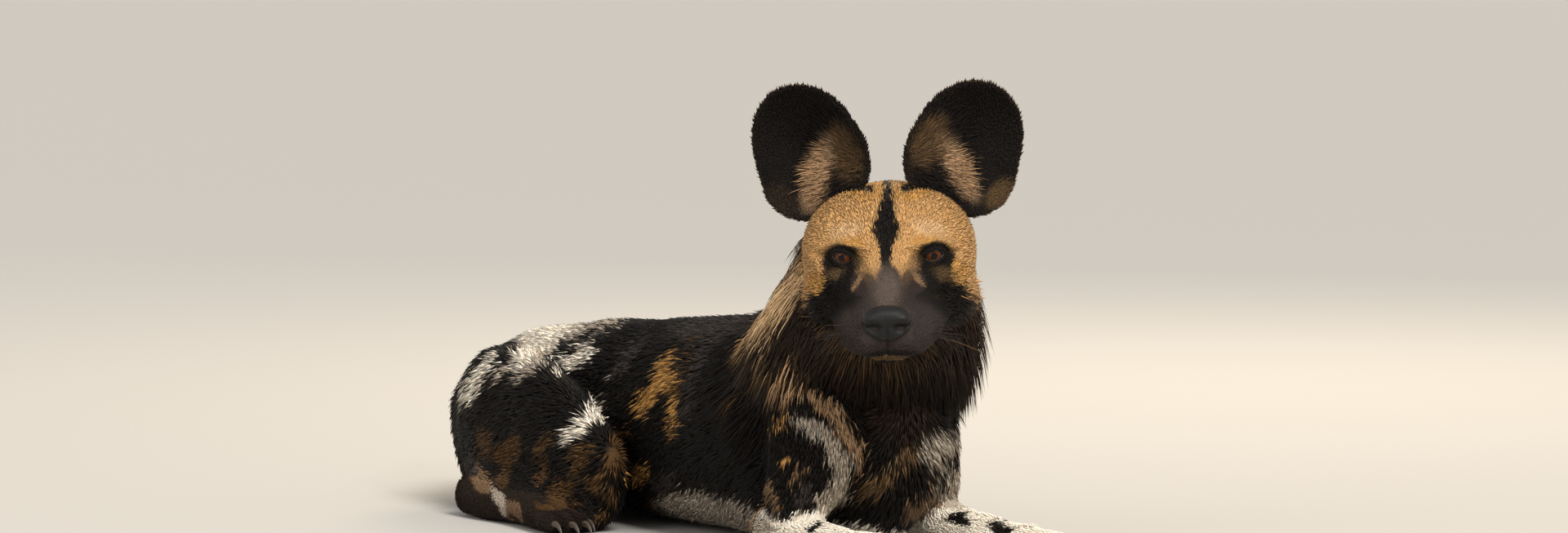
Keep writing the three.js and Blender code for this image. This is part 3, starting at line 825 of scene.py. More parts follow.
def tail_place(points):
    """How far along the tail the nearest place to each point lies, 0 at its root and 1 at its tip."""
    steps = 24
    at = spline(TAIL, np.linspace(0, len(TAIL) - 1, steps + 1))[:, :3]
    return np.argmin(np.linalg.norm(points[:, None] - at[None], axis=2), axis=1) / steps


def tail_marks(colours, points, share):
    """Tan at the tail's root, black after it, and a white brush."""
    tones = palette()
    place = tail_place(points)
    dark = np.where(place[:, None] > 0.3, tones[BLACK], tones[TAN])
    tone = np.where(place[:, None] > 0.52, tones[WHITE], dark)
    colours += (tone - colours) * (smoothstep(0.3, 0.7, share) * smoothstep(0.08, 0.16, place))[:, None]


def far_marks(colours, points, where):
    """Patches in white, gold and russet on the side that faces away from the view."""
    rng = np.random.default_rng(FAR_SEED)
    tones = palette()
    across = points[:, 0] + 9 * noise(points, 30, 7)
    high = points[:, 2] + 9 * noise(points, 30, 8)
    for _ in range(FAR_PATCHES):
        x, z = rng.uniform(-590, 110), rng.uniform(10, 205)
        half_sizes = rng.uniform(12, 46), rng.uniform(7, 20)
        tilt = rng.uniform(15, 70)
        tone = tones[FAR_COLOURS[rng.integers(len(FAR_COLOURS))]]
        lay_patch(colours, across - x, high - z, half_sizes, tilt, tone, where, 0.15)


# Skin
def ear_form(side):
    """Points and faces of one ear: a cupped dish with a thin rim, and the stem that sinks in the skull."""
    sectors = 96
    angles = np.linspace(0, 2 * math.pi, sectors, endpoint=False)
    rim = ear_rim(angles) - EAR_RIM_INSET

    def ring(share, back):
        inward, height = np.cos(angles) * rim * share, np.sin(angles) * rim * share
        behind = EAR_THICKNESS * (1 - 0.4 * share) - EAR_INSET
        depth = EAR_DEPTH * (1 - share**2) + (behind if back else EAR_INSET)
        crease = 2.2 * np.exp(-(((angles - 4.4) / 0.35) ** 2)) * math.sin(math.pi * share)
        x = EAR_CENTRE[0] + EAR_FACES_OUT * inward - depth + crease
        x = x + ear_lean(height)
        return np.stack([x, (EAR_CENTRE[1] - inward) * side, EAR_CENTRE[2] + height], 1)

    shares = np.linspace(0.04, 0.985, 26)
    rings = [ring(s, False) for s in shares] + [ring(1.0, True)] + [ring(s, True) for s in shares[::-1]]
    first, last = ring(0.0, False)[:1], ring(0.0, True)[:1]
    dish = np.vstack([first, *rings, last]), ring_faces(len(rings), sectors)
    stem = loft(
        [
            (-76, 34 * side, 20, 30, 20, 22, 2.0),
            (-92, 50 * side, 42, 30, 13, 20, 2.0),
            (-102, 62 * side, 66, 24, 7, 15, 2.0),
        ],
        sides=32,
        per_row=8,
        ends=(8, 8),
        grow=-2.5,
    )
    return [(from_head(p), f) for p, f in (dish, stem)]


def paw_forms(rows, side, inset):
    """The foot's own length and its four toes."""
    forms = [loft(on_side(rows, side), 32, 6, (10, 14), grow=-inset)]
    x, y = rows[-1][:2]
    for out, on, long, half, height in TOES:
        at = (x + on + 8, (y + out) * side, height - 1)
        forms.append(ball(at, (long / 1.4, half, height), -inset * 0.6))
    return forms


def flesh_forms(props):
    """Every closed form that the skin is drawn over, each inside its solid by the coat's depth."""
    body, limb, foot, face = props.body_coat, props.limb_coat, props.foot_coat, props.face_coat
    forms = [
        loft(TORSO, 72, 8, (24, 34), grow=-body),
        loft(NECK, 56, 8, (30, 16), LEANING_BACK, grow=-1.0),
        loft(TAIL, 28, 10, (20, 14), grow=-0.5),
    ]
    for side in SIDES.values():
        forms.append(loft(shoulder_rows(side), 40, 8, (22, 16), STANDING, grow=-limb))
        forms.append(loft(on_side(FOREARM, side), 36, 8, (14, 12), grow=-foot))
        forms.append(loft(on_side(THIGH, side), 44, 8, (26, 20), grow=-limb - 1))
        forms.append(loft(on_side(SHANK, side), 32, 8, (14, 10), grow=-foot))
        forms += paw_forms(FOREPAW, side, foot)
        forms += paw_forms(HIND_FOOT, side, foot)
    head = [loft(SKULL, 64, 10, (16, 9), grow=-face)]
    for side in SIDES.values():
        head.append(loft(on_side(FLEW, side), 28, 8, (8, 6), grow=-face * 0.6))
        head.append(ball((-36, 55 * side, -34), (46, 27, 38), -face - 1))
        head.append(ball((-9, 36 * side, 14), (19, 22, 9), -face * 0.6))
        head.append(ball((-14, 53 * side, -16), (34, 17, 14), -face))
    return forms + [(from_head(p), f) for p, f in head]


def almond(along, upward):
    """How far a place on an eye lies from the middle of the opening: 1 at the lids' edge."""
    lifted = upward - 0.14 * along - 0.2
    tall = np.where(lifted > 0, UPPER_LID, LOWER_LID)
    return (np.abs(along / EYE_OPENING) ** 1.7 + np.abs(lifted / tall) ** 2.0) ** (1 / 1.85)


def eye_axes(side):
    """The eye's centre, the way it looks, and the directions outwards and up, in the head's frame."""
    turn = math.radians(EYE_TURN)
    look = np.array([math.cos(turn), math.sin(turn) * side, 0.0])
    outward = np.array([-math.sin(turn), math.cos(turn) * side, 0.0])
    return EYE_CENTRE * (1, side, 1), look, outward, np.array([0.0, 0.0, 1.0])


def over_ball(d, look, outward, up):
    """How far outwards and upwards over the eyeball the places d from its centre lie."""
    ahead = d @ look
    return np.arctan2(d @ outward, ahead) * EYE_RADIUS, np.arctan2(d @ up, ahead) * EYE_RADIUS


def open_eyes(local):
    """Shapes the skin round each eye into lids with an almond opening."""
    for side in SIDES.values():
        centre, look, outward, up = eye_axes(side)
        d = local - centre
        far = np.linalg.norm(d, axis=1)
        ahead = d @ look
        near = (far < 34) & (ahead > 0.15 * far)
        if not near.any():
            continue
        part, r = d[near], far[near]
        q = almond(*over_ball(part, look, outward, up))
        lid = EYE_RADIUS + 1.1 + 1.5 * smoothstep(1.0, 1.35, q) - 1.6 * smoothstep(1.5, 2.0, q)
        target = np.where(q < 0.97, EYE_RADIUS - 2.2, lid)
        hold = 1 - smoothstep(1.7, 2.9, q)
        new = r * (1 - hold) + target * hold
        local[near] = centre + part * (new / r)[:, None]
    return local


def mound(local, at, size):
    """A soft bump's height from 0 to 1, on both sides of the head alike."""
    d = (np.stack([local[:, 0], np.abs(local[:, 1]), local[:, 2]], 1) - at) / size
    return np.exp(-np.sum(d * d, axis=1))


def carve_face(local, normals):
    """The mouth's line and lips, the hollows by muzzle and eyes, the forehead's furrow, folds and pads."""
    line = spline(MOUTH, np.linspace(0, len(MOUTH) - 1, 60))
    level = np.interp(local[:, 0], line[::-1, 0], line[::-1, 2])
    above = local[:, 2] - level
    beside = smoothstep(14, 24, local[:, 0]) * smoothstep(0.985, 0.85, np.abs(normals[:, 2]))
    push = -3.6 * np.exp(-((above / 1.7) ** 2))
    push += 1.3 * np.exp(-(((above - 6.5) / 4.5) ** 2))
    push -= 2.6 * smoothstep(0.0, -5.0, above) * smoothstep(-24, -12, above)
    push *= beside
    for out, at, size in FACE_FOLDS:
        push += out * mound(local, at, size)
    forehead = smoothstep(-80, -50, local[:, 0]) * smoothstep(24, 0, local[:, 0]) * (local[:, 2] > -10)
    push -= 1.8 * np.exp(-((local[:, 1] / 8) ** 2)) * forehead
    below_nose = smoothstep(84, 90, local[:, 0]) * (above > 0)
    push -= 1.4 * np.exp(-((local[:, 1] / 1.6) ** 2)) * below_nose
    return local + normals * push[:, None]


def refine(made, keep):
    """Splits the faces whose middle satisfies keep, given the middles in the dog's frame."""
    bm = bmesh.new()
    bm.from_mesh(made.data)
    middles = unplaced(np.array([f.calc_center_median() for f in bm.faces]))
    wanted = keep(middles)
    chosen = {e for f, yes in zip(bm.faces, wanted) if yes for e in f.edges}
    bmesh.ops.subdivide_edges(bm, edges=list(chosen), cuts=1, use_grid_fill=True, smooth=0.0)
    bmesh.ops.triangulate(bm, faces=[f for f in bm.faces if len(f.verts) > 4])
    bm.to_mesh(made.data)
    bm.free()


def around_head(points):
    local = into_head(points)
    return (local[:, 0] > -40) & (np.abs(local[:, 1]) < 88) & (local[:, 2] > -98) & (local[:, 2] < 62)


def around_face(points):
    local = into_head(points)
    return (local[:, 0] > -16) & (np.abs(local[:, 1]) < 66) & (local[:, 2] > -96) & (local[:, 2] < 34)


def foot_places(points):
    """For the fore and then the hind feet: how far the points lie ahead and outwards of the toes' roots."""
    for rows in (FOREPAW, HIND_FOOT):
        x, y = rows[-1][:2]
        yield points[:, 0] - x, np.abs(points[:, 1]) - y


def around_toes(points):
    near = np.zeros(len(points), bool)
    for ahead, aside in foot_places(points):
        near |= (ahead > -24) & (ahead < 64) & (np.abs(aside) < 36) & (points[:, 2] < 50)
    return near


def toe_grooves(points):
    """1 along the lines between the toes, 0 away from them."""
    depth = np.zeros(len(points))
    for ahead, aside in foot_places(points):
        along = smoothstep(-20, 4, ahead) * smoothstep(64, 54, ahead) * (points[:, 2] < 50)
        for middle in TOE_GROOVES:
            depth += along * np.exp(-(((aside - middle) / GROOVE_WIDTH) ** 2))
    return depth


def build_skin(props):
    """One skin over every form of flesh, with lids, lips and ears."""
    skin = joined("skin", flesh_forms(props))
    apply_modifier(skin, "REMESH", mode="VOXEL", voxel_size=props.skin_grain, adaptivity=0.0)
    apply_modifier(skin, "SMOOTH", factor=0.5, iterations=props.skin_smoothing)
    refine(skin, around_head)
    refine(skin, around_face)
    refine(skin, around_toes)
    apply_modifier(skin, "SMOOTH", factor=0.4, iterations=2)
    points, normals = mesh_points(skin), mesh_normals(skin)
    points -= normals * (GROOVE_DEPTH * toe_grooves(points))[:, None]
    normals = normals @ HEAD_TURN
    local = into_head(points)
    ahead = local[:, 0] > -100
    local[ahead] = carve_face(local[ahead], normals[ahead])
    local[ahead] = open_eyes(local[ahead])
    points = from_head(local)
    points[:, 2] = np.maximum(points[:, 2], SKIN_FLOOR)
    set_mesh_points(skin, points)
    for word, side in SIDES.items():
        ear = joined("ear_form_" + word, ear_form(side))
        facing_out(ear)
        apply_modifier(skin, "BOOLEAN", operation="UNION", object=ear, solver="MANIFOLD")
        bpy.data.objects.remove(ear)
    facing_out(skin)
    return skin


def muscle_bumps(skin):
    """Muscles and folds, pressed lightly into the skin of the body."""
    points, normals = mesh_points(skin), mesh_normals(skin)
    lumps = 2.0 * noise(points, 60, 11) + 0.7 * noise(points, 22, 12)
    body = smoothstep(190, 280, np.linalg.norm(into_head(points) - (-40, 0, 30), axis=1))
    points += normals * (lumps * body)[:, None]
    points[:, 2] = np.maximum(points[:, 2], SKIN_FLOOR)
    set_mesh_points(skin, points)


# Fields on the skin that the coat reads
def coat_fields(points, normals):
    """Hair length, width and lift, the way the hair runs, and how dense it is, at points of the skin."""
    names, weights, runs, sizes, _ = nearest_lengths(points)
    long, wide, lift = np.einsum("ln,ls->sn", weights, sizes)
    run = np.einsum("ln,lnc->nc", weights, runs)
    sink = np.zeros_like(points)
    sink[:, 2] = -1
    torso = weights[names.index("torso")]
    thighs = weights[names.index("thigh_right")] + weights[names.index("thigh_left")]
    neck = weights[names.index("neck")]
    head = weights[names.index("head")]
    run = unit(run) + sink * (0.5 * torso + 0.7 * thighs + 0.55 * neck)[:, None]
    run += 0.3 * np.stack([noise(points, 34, s) for s in (21, 22, 23)], 1) * (1 - 0.7 * head)[:, None]
    ears, ear_run = ear_share(points)
    run += (ear_run - run) * ears[:, None]
    local = into_head(points)
    muzzle = head * smoothstep(0, 40, local[:, 0])
    sizes = zip((long, wide, lift), MUZZLE_HAIR)
    long, wide, lift = (value + (there - value) * muzzle for value, there in sizes)
    cheek = head * smoothstep(10, -30, local[:, 0]) * smoothstep(-20, -50, local[:, 2])
    long = long + 12 * cheek
    eyes = np.min([np.linalg.norm(local - EYE_CENTRE * (1, s, 1), axis=1) for s in SIDES.values()], axis=0)
    long = long * (0.35 + 0.65 * smoothstep(14, 34, eyes))
    wide = wide * (0.6 + 0.4 * smoothstep(14, 30, eyes))
    long = long + (EAR_FUR[0] - long) * ears
    wide = wide + (EAR_FUR[1] - wide) * ears
    tail = weights[names.index("tail")]
    place = tail_place(points)
    root = tail * (1 - smoothstep(0.1, 0.3, place))
    long = long * (1 - 0.55 * root) + tail * 14 * smoothstep(0.4, 0.6, place)
    lift = lift * (1 - 0.6 * root)
    run -= normals * np.sum(run * normals, axis=1)[:, None]
    open_eye = 1 - smoothstep(0.86, 1.06, eye_gap(local))
    nose_pad = (local[:, 0] > 84) * (np.abs(local[:, 1]) < 22) * (local[:, 2] > -62)
    density = np.clip(1 - open_eye - nose_pad, 0, 1) * smoothstep(1.2, 4.0, points[:, 2])
    return {
        "long": long,
        "wide": wide,
        "lift": lift,
        "run": unit(run),
        "density": density,
        "neck": neck,
        "tail": tail * smoothstep(0.3, 0.5, place),
        "ears": ears,
        "cheek": cheek,
    }


def eye_gap(local):
    """The almond measure of the nearer eye, large away from the eyes."""
    gap = np.full(len(local), 9.0)
    for side in SIDES.values():
        centre, look, outward, up = eye_axes(side)
        d = local - centre
        near = (np.linalg.norm(d, axis=1) < 22) & (d @ look > 2)
        gap = np.where(near, np.minimum(gap, almond(*over_ball(d, look, outward, up))), gap)
    return gap


class CoatGround:
    """The skin's triangles, ready for picking root places."""

    def __init__(self, skin):
        mesh = skin.data
        mesh.calc_loop_triangles()
        count = len(mesh.loop_triangles)
        self.corner = np.empty(count * 3, np.int32)
        mesh.loop_triangles.foreach_get("vertices", self.corner)
        self.corner = self.corner.reshape(-1, 3)
        loops = np.empty(count * 3, np.int32)
        mesh.loop_triangles.foreach_get("loops", loops)
        layer = np.empty(len(mesh.loops) * 2, np.float32)
        mesh.uv_layers["OFBake"].data.foreach_get("uv", layer)
        self.uv = layer.reshape(-1, 2)[loops.reshape(-1, 3)]
        self.points = mesh_points(skin)
        self.normals = mesh_normals(skin)
        self.fields = coat_fields(self.points, self.normals)
        a, b, c = (self.points[self.corner[:, k]] for k in range(3))
        self.area = np.linalg.norm(np.cross(b - a, c - a), axis=1) / 2

    def mix(self, values, chosen, shares):
        """Values at places on the chosen triangles, from the values at their corners."""
        picked = values[self.corner[chosen]]
        if picked.ndim == 2:
            return np.sum(picked * shares, axis=1)
        return np.einsum("nkc,nk->nc", picked, shares)

    def roots(self, count, weight, rng):
        """Root places: count of them, spread by area times the weight at each skin point."""
        chance = self.area * weight[self.corner].mean(axis=1)
        edges = np.cumsum(chance)
        places = (np.arange(count) + rng.random(count)) / count * edges[-1]
        chosen = np.searchsorted(edges, places)
        chosen = np.minimum(chosen, len(edges) - 1)
        u, v = rng.random(count), rng.random(count)
        flip = u + v > 1
        u, v = np.where(flip, 1 - u, u), np.where(flip, 1 - v, v)
        shares = np.stack([1 - u - v, u, v], 1)
        picked = {key: self.mix(value, chosen, shares) for key, value in self.fields.items()}
        picked["point"] = self.mix(self.points, chosen, shares)
        picked["normal"] = unit(self.mix(self.normals, chosen, shares))
        picked["uv"] = np.einsum("nkc,nk->nc", self.uv[chosen], shares)
        run = picked["run"]
        run = run - picked["normal"] * np.sum(run * picked["normal"], axis=1)[:, None]
        picked["run"] = unit(run)
        return picked


def hair_mesh(name, rings, root_tip, colours, tips, uv):
    """Closed spindles: each has a root point, rings of three points and a tip."""
    count, levels = rings.shape[0], rings.shape[1]
    per = 2 + 3 * levels
    points = np.empty((count, per, 3))
    points[:, 0] = root_tip[:, 0]
    points[:, 1:-1] = rings.reshape(count, levels * 3, 3)
    points[:, -1] = root_tip[:, 1]
    points[..., 2] = np.maximum(points[..., 2], HAIR_FLOOR)
    faces = []
    for k in range(3):
        after = (k + 1) % 3
        faces.append((0, 1 + after, 1 + k))
        faces.append((per - 1, per - 4 + k, per - 4 + after))
        for level in range(levels - 1):
            a, b = 1 + 3 * level, 4 + 3 * level
            faces.append((a + k, a + after, b + after))
            faces.append((a + k, b + after, b + k))
    faces = np.array(faces)
    corner = (np.arange(count)[:, None, None] * per + faces[None]).reshape(-1)
    mesh = bpy.data.meshes.new(name)
    mesh.vertices.add(count * per)
    mesh.vertices.foreach_set("co", placed(points.reshape(-1, 3)).astype(np.float32).ravel())
    total = count * len(faces)
    mesh.loops.add(total * 3)
    mesh.loops.foreach_set("vertex_index", corner.astype(np.int32))
    mesh.polygons.add(total)
    mesh.polygons.foreach_set("loop_start", np.arange(0, total * 3, 3, dtype=np.int32))
    mesh.update(calc_edges=True)
    mesh.polygons.foreach_set("use_smooth", np.ones(total, bool))
    along = np.concatenate([[0.0], np.repeat(np.linspace(0.35, 0.8, levels), 3), [1.0]])[None, :, None]
    mixed = colours[:, None, :] * (1 - along) + tips[:, None, :] * along
    # painted shade: each tuft is darker towards its root, where it lies under the others
    shade = np.clip(mixed * (0.7 + 0.3 * smoothstep(0.0, 0.45, along)), 0, 1)
    offsets = np.zeros((per, 2))
    offsets[0], offsets[-1] = (0, -HALF_PATCH), (0, HALF_PATCH)
    for level in range(levels):
        high = HALF_PATCH * 0.5 * (level - 0.5)
        offsets[1 + 3 * level : 4 + 3 * level] = [(-HALF_PATCH, high), (HALF_PATCH, high), (0, high)]
    layer = mesh.uv_layers.new(name="OFBake")
    uvs = (uv[:, None, :] + offsets[None])[:, faces.reshape(-1)]
    layer.data.foreach_set("uv", uvs.astype(np.float32).ravel())
    made = bpy.data.objects.new(name, mesh)
    set_colours(made, "Coat", shade.reshape(-1, 3))
    mesh.validate()
    bpy.context.scene.collection.objects.link(made)
    return made


def grow_coat(name, roots, rng, levels=1, tips=None, droop=0.0, sink=2.0):
    """Tufts at the given roots, bending along the lie of the coat."""
    count = len(roots["point"])
    long = roots["long"] * rng.uniform(0.75, 1.25, count)
    wide = roots["wide"] * rng.uniform(0.8, 1.25, count)
    lift = roots["lift"] * rng.uniform(0.5, 1.5, count)
    normal, run = roots["normal"], roots["run"]
    across = np.cross(run, normal)
    sway = rng.normal(0, 0.16, count)
    run = unit(run + across * sway[:, None])
    across = unit(np.cross(run, normal))
    bend = rng.normal(0, 0.05, count)

    def centre(share):
        rise = lift * share * (1.25 - 0.5 * share)
        out = roots["point"] + run * (long * share)[:, None] + normal * (long * rise)[:, None]
        out = out + across * (long * bend * share * share)[:, None]
        out[:, 2] -= long * droop * share * share
        return out

    shares = [0.42] if levels == 1 else [0.28, 0.66]
    widths = [1.0] if levels == 1 else [1.0, 0.78]
    rings = np.empty((count, levels, 3, 3))
    for level, (share, width) in enumerate(zip(shares, widths)):
        middle = centre(share)
        half = across * (wide * width / 2)[:, None]
        rings[:, level, 0] = middle + half
        rings[:, level, 1] = middle - half
        rings[:, level, 2] = middle + normal * (wide * width * LOCK_HEIGHT)[:, None]
    root_tip = np.stack([roots["point"] - normal * sink - run * (0.05 * long)[:, None], centre(1.0)], 1)
    stray = np.minimum(0.14 * long, 2.6) * (1 - 0.7 * roots["ears"])
    shown = roots["point"] + rng.normal(0, 1, (count, 3)) * stray[:, None]
    shown += run * (long * rng.uniform(0.25, 0.75, count) * (1 - roots["ears"]))[:, None]
    colours = markings(shown, normal)
    level = rng.uniform(0.78, 1.22, (count, 1))
    warm = rng.normal(0, 0.035, (count, 1))
    colours = colours * level * (1 + warm * np.array([[1.0, 0.0, -1.0]]))
    ends = colours * 1.12 if tips is None else tips(roots, colours)
    return hair_mesh(name, rings, root_tip, np.clip(colours, 0, 1), np.clip(ends, 0, 1), roots["uv"])


# Materials
def new_material(name):
    material = bpy.data.materials.new(name)
    material.use_nodes = True
    tree = material.node_tree
    shader = next(n for n in tree.nodes if n.type == "BSDF_PRINCIPLED")
    return material, tree, shader


def add_node(tree, kind, place, **settings):
    node = tree.nodes.new(kind)
    node.location = place
    for key, value in settings.items():
        setattr(node, key, value)
    return node


def flecks_group():
    """Hair-fine light and dark flecks over a colour, with a bump to match."""
    group = bpy.data.node_groups.new("Hair Flecks", "ShaderNodeTree")
    face = group.interface
    for name, kind, way in (
        ("Colour", "NodeSocketColor", "INPUT"),
        ("Fineness", "NodeSocketFloat", "INPUT"),
        ("Strength", "NodeSocketFloat", "INPUT"),
        ("Colour", "NodeSocketColor", "OUTPUT"),
        ("Height", "NodeSocketFloat", "OUTPUT"),
    ):
        face.new_socket(name=name, in_out=way, socket_type=kind)
    into = add_node(group, "NodeGroupInput", (-800, 0))
    out = add_node(group, "NodeGroupOutput", (500, 0))
    place = add_node(group, "ShaderNodeTexCoord", (-800, -300))
    grain = add_node(group, "ShaderNodeTexNoise", (-500, -200), noise_dimensions="3D")
    grain.inputs["Detail"].default_value = 4.0
    spread = add_node(group, "ShaderNodeMapRange", (-280, -200))
    spread.inputs["From Min"].default_value = 0.3
    spread.inputs["From Max"].default_value = 0.7
    spread.inputs["To Min"].default_value = -1.0
    spread.inputs["To Max"].default_value = 1.0
    amount = add_node(group, "ShaderNodeMath", (-80, -200), operation="MULTIPLY_ADD")
    amount.inputs[2].default_value = 1.0
    shade = add_node(group, "ShaderNodeVectorMath", (150, 0), operation="SCALE")
    link = group.links.new
    link(place.outputs["Object"], grain.inputs["Vector"])
    link(into.outputs["Fineness"], grain.inputs["Scale"])
    link(grain.outputs["Fac"], spread.inputs["Value"])
    link(spread.outputs["Result"], amount.inputs[0])
    link(into.outputs["Strength"], amount.inputs[1])
    link(into.outputs["Colour"], shade.inputs[0])
    link(amount.outputs["Value"], shade.inputs["Scale"])
    link(shade.outputs["Vector"], out.inputs["Colour"])
    link(grain.outputs["Fac"], out.inputs["Height"])
    return group


def coat_material(name, fineness, strength, roughness):
    """Fur colour from the markings, with flecks; the same for skin and tufts apart from the scale."""
    material, tree, shader = new_material(name)
    colour = add_node(tree, "ShaderNodeAttribute", (-700, 200), attribute_name="Coat")
    group = bpy.data.node_groups.get("Hair Flecks") or flecks_group()
    flecks = add_node(tree, "ShaderNodeGroup", (-420, 200), node_tree=group)
    flecks.inputs["Fineness"].default_value = fineness
    flecks.inputs["Strength"].default_value = strength
    bump = add_node(tree, "ShaderNodeBump", (-200, -150))
    bump.inputs["Strength"].default_value = 0.35
    bump.inputs["Distance"].default_value = 0.001
    tree.links.new(colour.outputs["Color"], flecks.inputs["Colour"])
    tree.links.new(flecks.outputs["Colour"], shader.inputs["Base Color"])
    tree.links.new(flecks.outputs["Height"], bump.inputs["Height"])
    tree.links.new(bump.outputs["Normal"], shader.inputs["Normal"])
    shader.inputs["Roughness"].default_value = roughness
    shader.inputs["Specular IOR Level"].default_value = 0.16
    return material


def leather_material(name, colour, roughness, fineness, depth):
    """Dark bare skin with a pebbled grain, as on the nose."""
    material, tree, shader = new_material(name)
    place = add_node(tree, "ShaderNodeTexCoord", (-900, 0))
    pebbles = add_node(tree, "ShaderNodeTexVoronoi", (-650, 0), feature="F1")
    pebbles.inputs["Scale"].default_value = fineness
    blotches = add_node(tree, "ShaderNodeTexNoise", (-650, 300))
    blotches.inputs["Scale"].default_value = 90.0
    tones = add_node(tree, "ShaderNodeMix", (-350, 250), data_type="RGBA")
    tones.inputs["A"].default_value = (*colour, 1)
    tones.inputs["B"].default_value = (*(c * 2.2 + 0.004 for c in colour), 1)
    bump = add_node(tree, "ShaderNodeBump", (-300, -150))
    bump.inputs["Strength"].default_value = 0.55
    bump.inputs["Distance"].default_value = depth
    bump.invert = True
    link = tree.links.new
    link(place.outputs["Object"], pebbles.inputs["Vector"])
    link(place.outputs["Object"], blotches.inputs["Vector"])
    link(blotches.outputs["Fac"], tones.inputs["Factor"])
    link(pebbles.outputs["Distance"], bump.inputs["Height"])
    link(tones.outputs["Result"], shader.inputs["Base Color"])
    link(bump.outputs["Normal"], shader.inputs["Normal"])
    shader.inputs["Roughness"].default_value = roughness
    shader.inputs["Specular IOR Level"].default_value = 0.2
    return material


def eye_material(name):
    """A black pupil, a red-brown iris with fine rays and a dark rim, under a wet gloss."""
    material, tree, shader = new_material(name)
    colour = add_node(tree, "ShaderNodeAttribute", (-500, 200), attribute_name="Iris")
    tree.links.new(colour.outputs["Color"], shader.inputs["Base Color"])
    shader.inputs["Roughness"].default_value = 0.03
    shader.inputs["Specular IOR Level"].default_value = 0.2
    return material


def claw_material(name):
    """Dark horn with fine lengthwise streaks of a paler tone."""
    material, tree, shader = new_material(name)
    place = add_node(tree, "ShaderNodeTexCoord", (-900, 0))
    stretch = add_node(tree, "ShaderNodeMapping", (-700, 0))
    stretch.inputs["Scale"].default_value = (120.0, 900.0, 900.0)
    streaks = add_node(tree, "ShaderNodeTexNoise", (-480, 0))
    streaks.inputs["Scale"].default_value = 1.0
    tones = add_node(tree, "ShaderNodeMix", (-250, 150), data_type="RGBA")
    tones.inputs["A"].default_value = (0.016, 0.012, 0.010, 1)
    tones.inputs["B"].default_value = (0.085, 0.060, 0.042, 1)
    link = tree.links.new
    link(place.outputs["Object"], stretch.inputs["Vector"])
    link(stretch.outputs["Vector"], streaks.inputs["Vector"])
    link(streaks.outputs["Fac"], tones.inputs["Factor"])
    link(tones.outputs["Result"], shader.inputs["Base Color"])
    shader.inputs["Roughness"].default_value = 0.38
    return material


def shared_material(maker, name, *values):
    """The material of that name, made when it is first asked for."""
    return bpy.data.materials.get(name) or maker(name, *values)


def finish_piece(made, material):
    """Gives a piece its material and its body."""
    made.data.materials.clear()
    made.data.materials.append(material)
    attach(made, "root")


# Pieces
def eyeball(side, iris_size):
    """One eye with a raised clear front; its colours are set point by point."""
    centre, look, outward, up = eye_axes(side)
    sides, rings = 72, 60
    angles = np.linspace(0, 2 * math.pi, sides, endpoint=False)
    polar = np.concatenate([np.linspace(0.02, 0.9, 42), np.linspace(0.95, 3.08, rings - 42)])
    radius = EYE_RADIUS + 0.9 * np.exp(-((polar / 0.52) ** 2)) - 0.2
    around = np.cos(angles)[:, None] * outward + np.sin(angles)[:, None] * up
    rows = [centre + r * (math.cos(p) * look + math.sin(p) * around) for p, r in zip(polar, radius)]
    points = np.vstack([[centre + (EYE_RADIUS + 0.7) * look], *rows, [centre - (EYE_RADIUS - 0.2) * look]])
    at = np.concatenate([[0.0], np.repeat(polar, sides), [math.pi]]) * EYE_RADIUS
    turn = np.concatenate([[0.0], np.tile(angles, rings), [0.0]])
    rays = noise(np.stack([np.cos(turn) * 60, np.sin(turn) * 60, at * 1.2], 1), 3.0, 31)
    fine = noise(np.stack([np.cos(turn) * 60, np.sin(turn) * 60, at * 0.8], 1), 1.1, 32)
    deep, bright = np.array([0.022, 0.006, 0.003]), np.array([0.125, 0.032, 0.008])
    blend = np.clip(0.55 + 0.30 * rays + 0.18 * fine, 0, 1)[:, None]
    iris = deep + (bright - deep) * blend
    iris = iris * (1 - 0.85 * smoothstep(iris_size - 1.9, iris_size, at))[:, None]
    pupil = smoothstep(2.8, 3.5, at)[:, None]
    white = smoothstep(iris_size + 0.1, iris_size + 0.9, at)[:, None]
    colours = iris * pupil + 0.0015 * (1 - pupil)
    colours = colours * (1 - white) + np.array([0.030, 0.018, 0.014]) * white
    return from_head(points), ring_faces(rings, sides), colours


def build_eyes(props):
    """The two eyes, each in place of its plain ball."""
    material = shared_material(eye_material, "eye_wet")
    for word, side in SIDES.items():
        points, faces, colours = eyeball(side, props.iris_size)
        eye = mesh_object("eye_" + word + "_ball", placed(points), faces)
        facing_out(eye)
        set_colours(eye, "Iris", colours)
        smooth_faces(eye)
        finish_piece(eye, material)
        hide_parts("eye_" + word)


